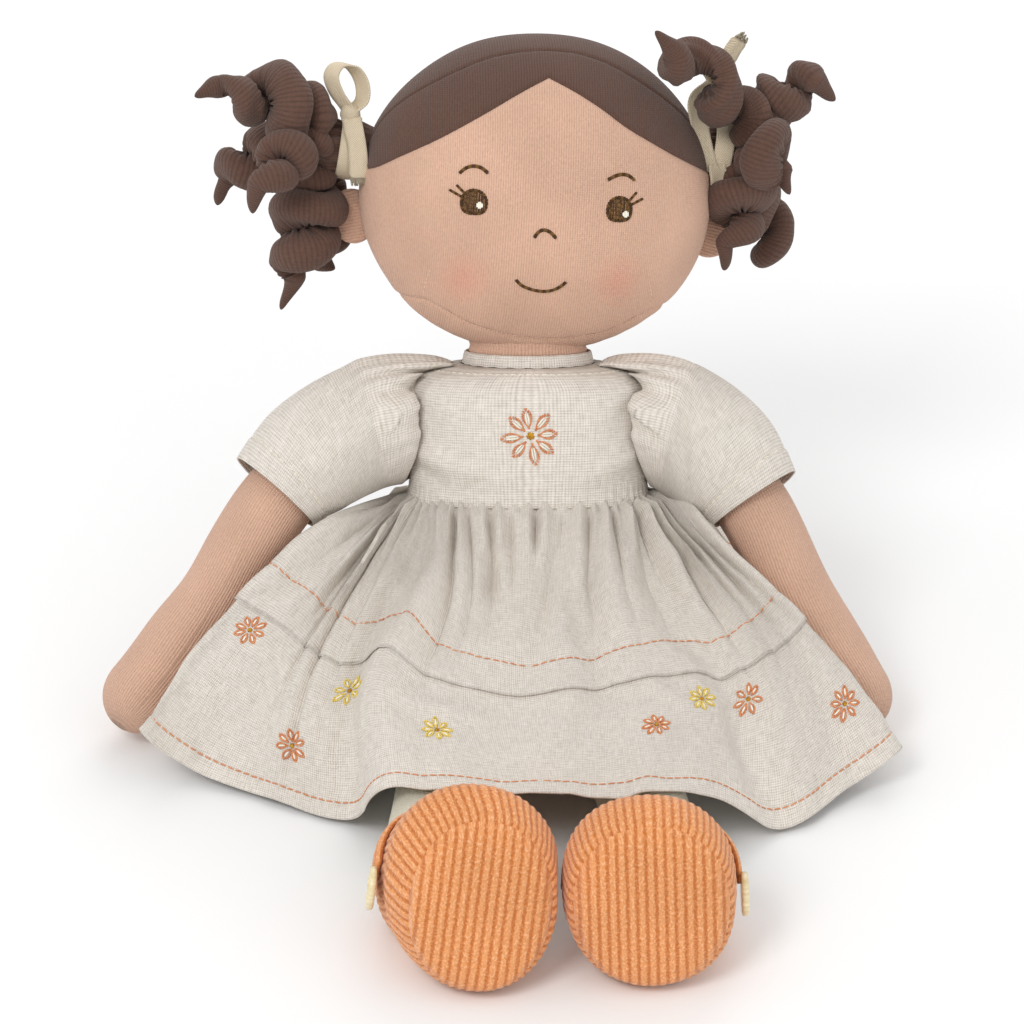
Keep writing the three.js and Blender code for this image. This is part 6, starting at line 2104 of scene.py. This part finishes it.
class DOLL_OT_make_shoes(bpy.types.Operator):
    """Shoes: corduroy uppers and domed soles with their wales in relief"""

    bl_idname = "doll.make_shoes"
    bl_label = "Shoes"

    def execute(self, context):
        relief = context.scene.doll_sizes.cord_relief
        pitch = context.scene.doll_colours.wale
        for label, side in sides.items():
            shoe, surface = shoe_place(label), upper_cloth(label)
            wales = 60
            around = wales * 8
            angle = ring_angles(around)
            forward = np.concatenate([np.linspace(0, 0.88, 30), np.linspace(0.9, 1.0, 12)])
            crest = np.abs(np.cos(angle * wales / 2)) ** 1.2 - 0.5
            round_it = 2 * np.cos(angle)[None], 2 * np.sin(angle)[None]
            soft = 0.5 * MM * drift(61 + side, 5, *round_it, 4 * forward[:, None])
            seam = -0.9 * MM * ease(0.965, 1.0, forward) + 0.5 * MM * mound(forward, 0.93, 0.05)
            binding = 0.5 * MM * mound(forward, 0.0, 0.05)
            lift = 2 * relief * crest[None] * (1 - ease(0.985, 1.0, forward))[:, None]
            lift = lift + soft + (seam + binding)[:, None]
            points = pressed(surface(angle[None, :], forward[:, None], lift.ravel()), label)
            cloth = spots(np.linspace(0, wales * pitch, around + 1), forward * shoe_depth)
            form = Form()
            form.net(points, cloth, wrap=True)
            name = f"{label}_shoe_upper"
            stands_for = [name, f"{label}_foot_filling"]
            body = f"{label}_leg"
            upper = sew("corduroy_" + name, form, "shoe_corduroy", body, stands_for, shoe_wall)

            lean = legs[label]["lean"]
            outline = soles[label]
            wide = shoe_half[0] * 0.95 * outline["wide"]
            tall = shoe_half[1] * 0.955 * outline["tall"] * (1 - outline["low"])
            columns, rows = int(2 * wide / pitch * 9), 90
            x = np.linspace(-0.999, 0.999, columns) * wide
            edge = tall * (1 - np.abs(x / wide) ** shoe_square) ** (1 / shoe_square)
            t = np.sin(np.linspace(-1, 1, rows) * math.pi / 2)
            y = t[:, None] * edge[None]
            x = np.broadcast_to(x[None], y.shape)
            q = (np.abs(x / wide) ** shoe_square + np.abs(y / tall) ** shoe_square) ** (1 / shoe_square)
            dome = sole_bulge * smoothly(q.ravel() * 0.955, sole_shares, 1).reshape(q.shape)
            crest = np.abs(np.cos(math.pi * x / pitch)) ** 1.2 - 0.5
            soft = 0.5 * MM * drift(63 + side, 5, 2.5 * x / wide, 2.5 * y / tall)
            calm = 1 - ease(0.955, 1.0, q)
            out = dome + (2 * relief * crest + soft) * calm - 0.7 * MM * ease(0.97, 1.0, q)
            tilt = math.radians(-lean)
            centre = upper_shares[-1][1] * shoe_half[1]
            start = shoe_depth + seam_gap / math.cos(math.radians(lean))
            up = y + outline["up"] - outline["low"] * shoe_half[1]
            local = np.stack([
                x + outline["right"], centre + up * math.cos(tilt), start + up * math.sin(tilt) + out,
            ], -1)
            points = pressed(shoe.at(local), label)
            cloth = np.stack([x, y], -1)
            form = Form()
            form.net(points, cloth)
            name = f"{label}_shoe_sole"
            sole = sew("corduroy_" + name, form, "shoe_corduroy", body, [name], shoe_wall)
        return {"FINISHED"}


# The strap's slant in degrees, and where its middle and its ends lie on the shoe
strap_slant = 42
strap_top = (1.28 * shoe_half[1], 0.2 * shoe_depth)
strap_foot = 0.42 * shoe_half[1]


class DOLL_OT_make_straps(bpy.types.Operator):
    """Straps: one over each instep, sewn down inside and buttoned outside"""

    bl_idname = "doll.make_straps"
    bl_label = "Straps and shoe buttons"

    def execute(self, context):
        for label, side in sides.items():
            shoe, surface = shoe_place(label), upper_cloth(label)
            slant = math.radians(strap_slant)
            normal = np.array([0, math.sin(slant), math.cos(slant)])
            origin = np.array([0, *strap_top])
            forward = np.linspace(0, 1, 220)
            angles = np.linspace(-0.08, math.pi + 0.08, 120)
            if side < 0:
                angles = angles[::-1]
            across = np.linspace(-0.5, 0.5, 17)
            rows = []
            for number, angle in enumerate(angles):
                level = (shoe.back(surface(angle, forward, 0.0)) - origin) @ normal
                order = np.argsort(level)
                end = ease(0, 0.045, number / (len(angles) - 1))
                width = strap_width * (0.35 + 0.65 * end)
                at = np.interp(across * width, level[order], forward[order])
                edge = 1 - np.abs(2 * across) ** 4
                ridge = 0.25 * MM * np.cos(TURN * across * strap_width / (2.6 * MM))
                lift = seam_gap + strap_thickness * (0.35 + 0.65 * edge) + ridge * edge
                rows.append(surface(np.full(len(across), angle), at, lift))
            rows = np.array(rows)
            local = shoe.back(rows)
            keep = local[:, len(across) // 2, 1] > strap_foot
            rows = pressed(rows[keep], label)
            run = run_along(rows[:, 8])
            form = Form()
            form.net(rows, spots(across * strap_width + 0.15 * MM, run), flip=side > 0)
            strap = sew(
                f"corduroy_{label}_strap", form, "shoe_corduroy", None,
                [f"{label}_strap_base", f"{label}_strap_tab"], strap_wall,
            )
            out = shoe.along((side, 0, 0))
            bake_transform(strap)

            low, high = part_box(f"{label}_shoe_button")
            middle = np.array((low + high) / 2) - out * 1.1 * MM
            form, strings = button_form(middle, out, shoe.along((0, 1, 0)), *shoe_button)
            name = f"{label}_shoe_button"
            sew("dished_" + name, form, "button_ivory", f"{label}_strap", [name])
            sew(name + "_thread", strings, "cream_thread", f"{label}_strap")
        return {"FINISHED"}


# Stage: the floor's height in metres, then what the camera looks at in mm, how far off it is in metres,
# how far above level in degrees, and its lens in mm

floor_rise = -0.0002
camera_target = (-5.4, 0, 63)
camera_distance = 1.3
camera_height = 29
camera_lens = 135.2


class DOLL_OT_make_stage(bpy.types.Operator):
    """Stage: a pale floor, soft studio light and a camera at the doll"""

    bl_idname = "doll.make_stage"
    bl_label = "Stage, light and camera"

    def execute(self, context):
        scene = context.scene
        form = Form()
        span = np.linspace(-4, 4, 9)
        x, y = np.meshgrid(span, span)
        form.net(np.stack([x, y, 0 * x + floor_rise], -1), np.stack([x, y], -1))
        floor = bpy.data.objects.new("floor", form.mesh("floor"))
        scene.collection.objects.link(floor)
        pale, n, shader, place = blank("pale_floor")
        tone = n.fit(n.noise(place, 3.0), 0.3, 0.7, 0.86, 0.9)
        pale.node_tree.links.new(tone, shader.inputs["Base Color"])
        floor.data.materials.append(pale)

        world = bpy.data.worlds.new("studio")
        world.use_nodes = True
        world.node_tree.nodes["Background"].inputs["Color"].default_value = (1, 1, 1, 1)
        world.node_tree.nodes["Background"].inputs["Strength"].default_value = 0.8
        scene.world = world
        scene.view_settings.view_transform = "Standard"
        soft_boxes = {
            "key": ((-0.65, -1.05, 1.3), 0.6, 9.6),
            "fill": ((1.1, -1.1, 0.8), 1.4, 2.5),
            "back": ((0.2, 1.3, 1.2), 1.2, 8.0),
        }
        for name, (spot, width, power) in soft_boxes.items():
            lamp = bpy.data.lights.new(name, "AREA")
            lamp.size, lamp.energy = width, power
            box = bpy.data.objects.new(name, lamp)
            box.location = spot
            aim = Vector((0, -0.02, 0.09)) - box.location
            box.rotation_euler = aim.to_track_quat("-Z", "Y").to_euler()
            scene.collection.objects.link(box)

        lens = bpy.data.cameras.new("camera")
        lens.lens, lens.sensor_width = camera_lens, 36
        camera = bpy.data.objects.new("camera", lens)
        target = Vector(camera_target) * MM
        height = math.radians(camera_height)
        camera.location = target + Vector((0, -math.cos(height), math.sin(height))) * camera_distance
        camera.rotation_euler = (target - camera.location).to_track_quat("-Z", "Y").to_euler()
        scene.collection.objects.link(camera)
        scene.camera = camera
        return {"FINISHED"}


STEPS = (
    DOLL_OT_make_stage, DOLL_OT_make_head, DOLL_OT_make_ears, DOLL_OT_make_face, DOLL_OT_make_body,
    DOLL_OT_make_bunches, DOLL_OT_make_tapes, DOLL_OT_make_arms, DOLL_OT_make_legs, DOLL_OT_make_bodice,
    DOLL_OT_make_back_buttons, DOLL_OT_make_sleeves, DOLL_OT_make_skirt, DOLL_OT_make_shoes,
    DOLL_OT_make_straps,
)


class DOLL_PT_panel(bpy.types.Panel):
    """Lists the steps that sew the doll, with its sizes and colours"""

    bl_idname = "DOLL_PT_panel"
    bl_label = "Rag Doll"
    bl_space_type = "VIEW_3D"
    bl_region_type = "UI"
    bl_category = "Rag Doll"

    def draw(self, context):
        for step in STEPS:
            self.layout.operator(step.bl_idname)
        for group in (context.scene.doll_sizes, context.scene.doll_colours):
            box = self.layout.box()
            for name in group.__annotations__:
                box.prop(group, name)


CLASSES = (DollSizes, DollColours, *STEPS, DOLL_PT_panel)


def register():
    for each in CLASSES:
        bpy.utils.register_class(each)
    bpy.types.Scene.doll_sizes = bpy.props.PointerProperty(type=DollSizes)
    bpy.types.Scene.doll_colours = bpy.props.PointerProperty(type=DollColours)


def unregister():
    del bpy.types.Scene.doll_colours
    del bpy.types.Scene.doll_sizes
    for each in reversed(CLASSES):
        bpy.utils.unregister_class(each)


def main():
    """Sews every piece in order."""
    register()
    for step in STEPS:
        family, name = step.bl_idname.split(".")
        getattr(getattr(bpy.ops, family), name)()


if __name__ == "__main__":
    main()
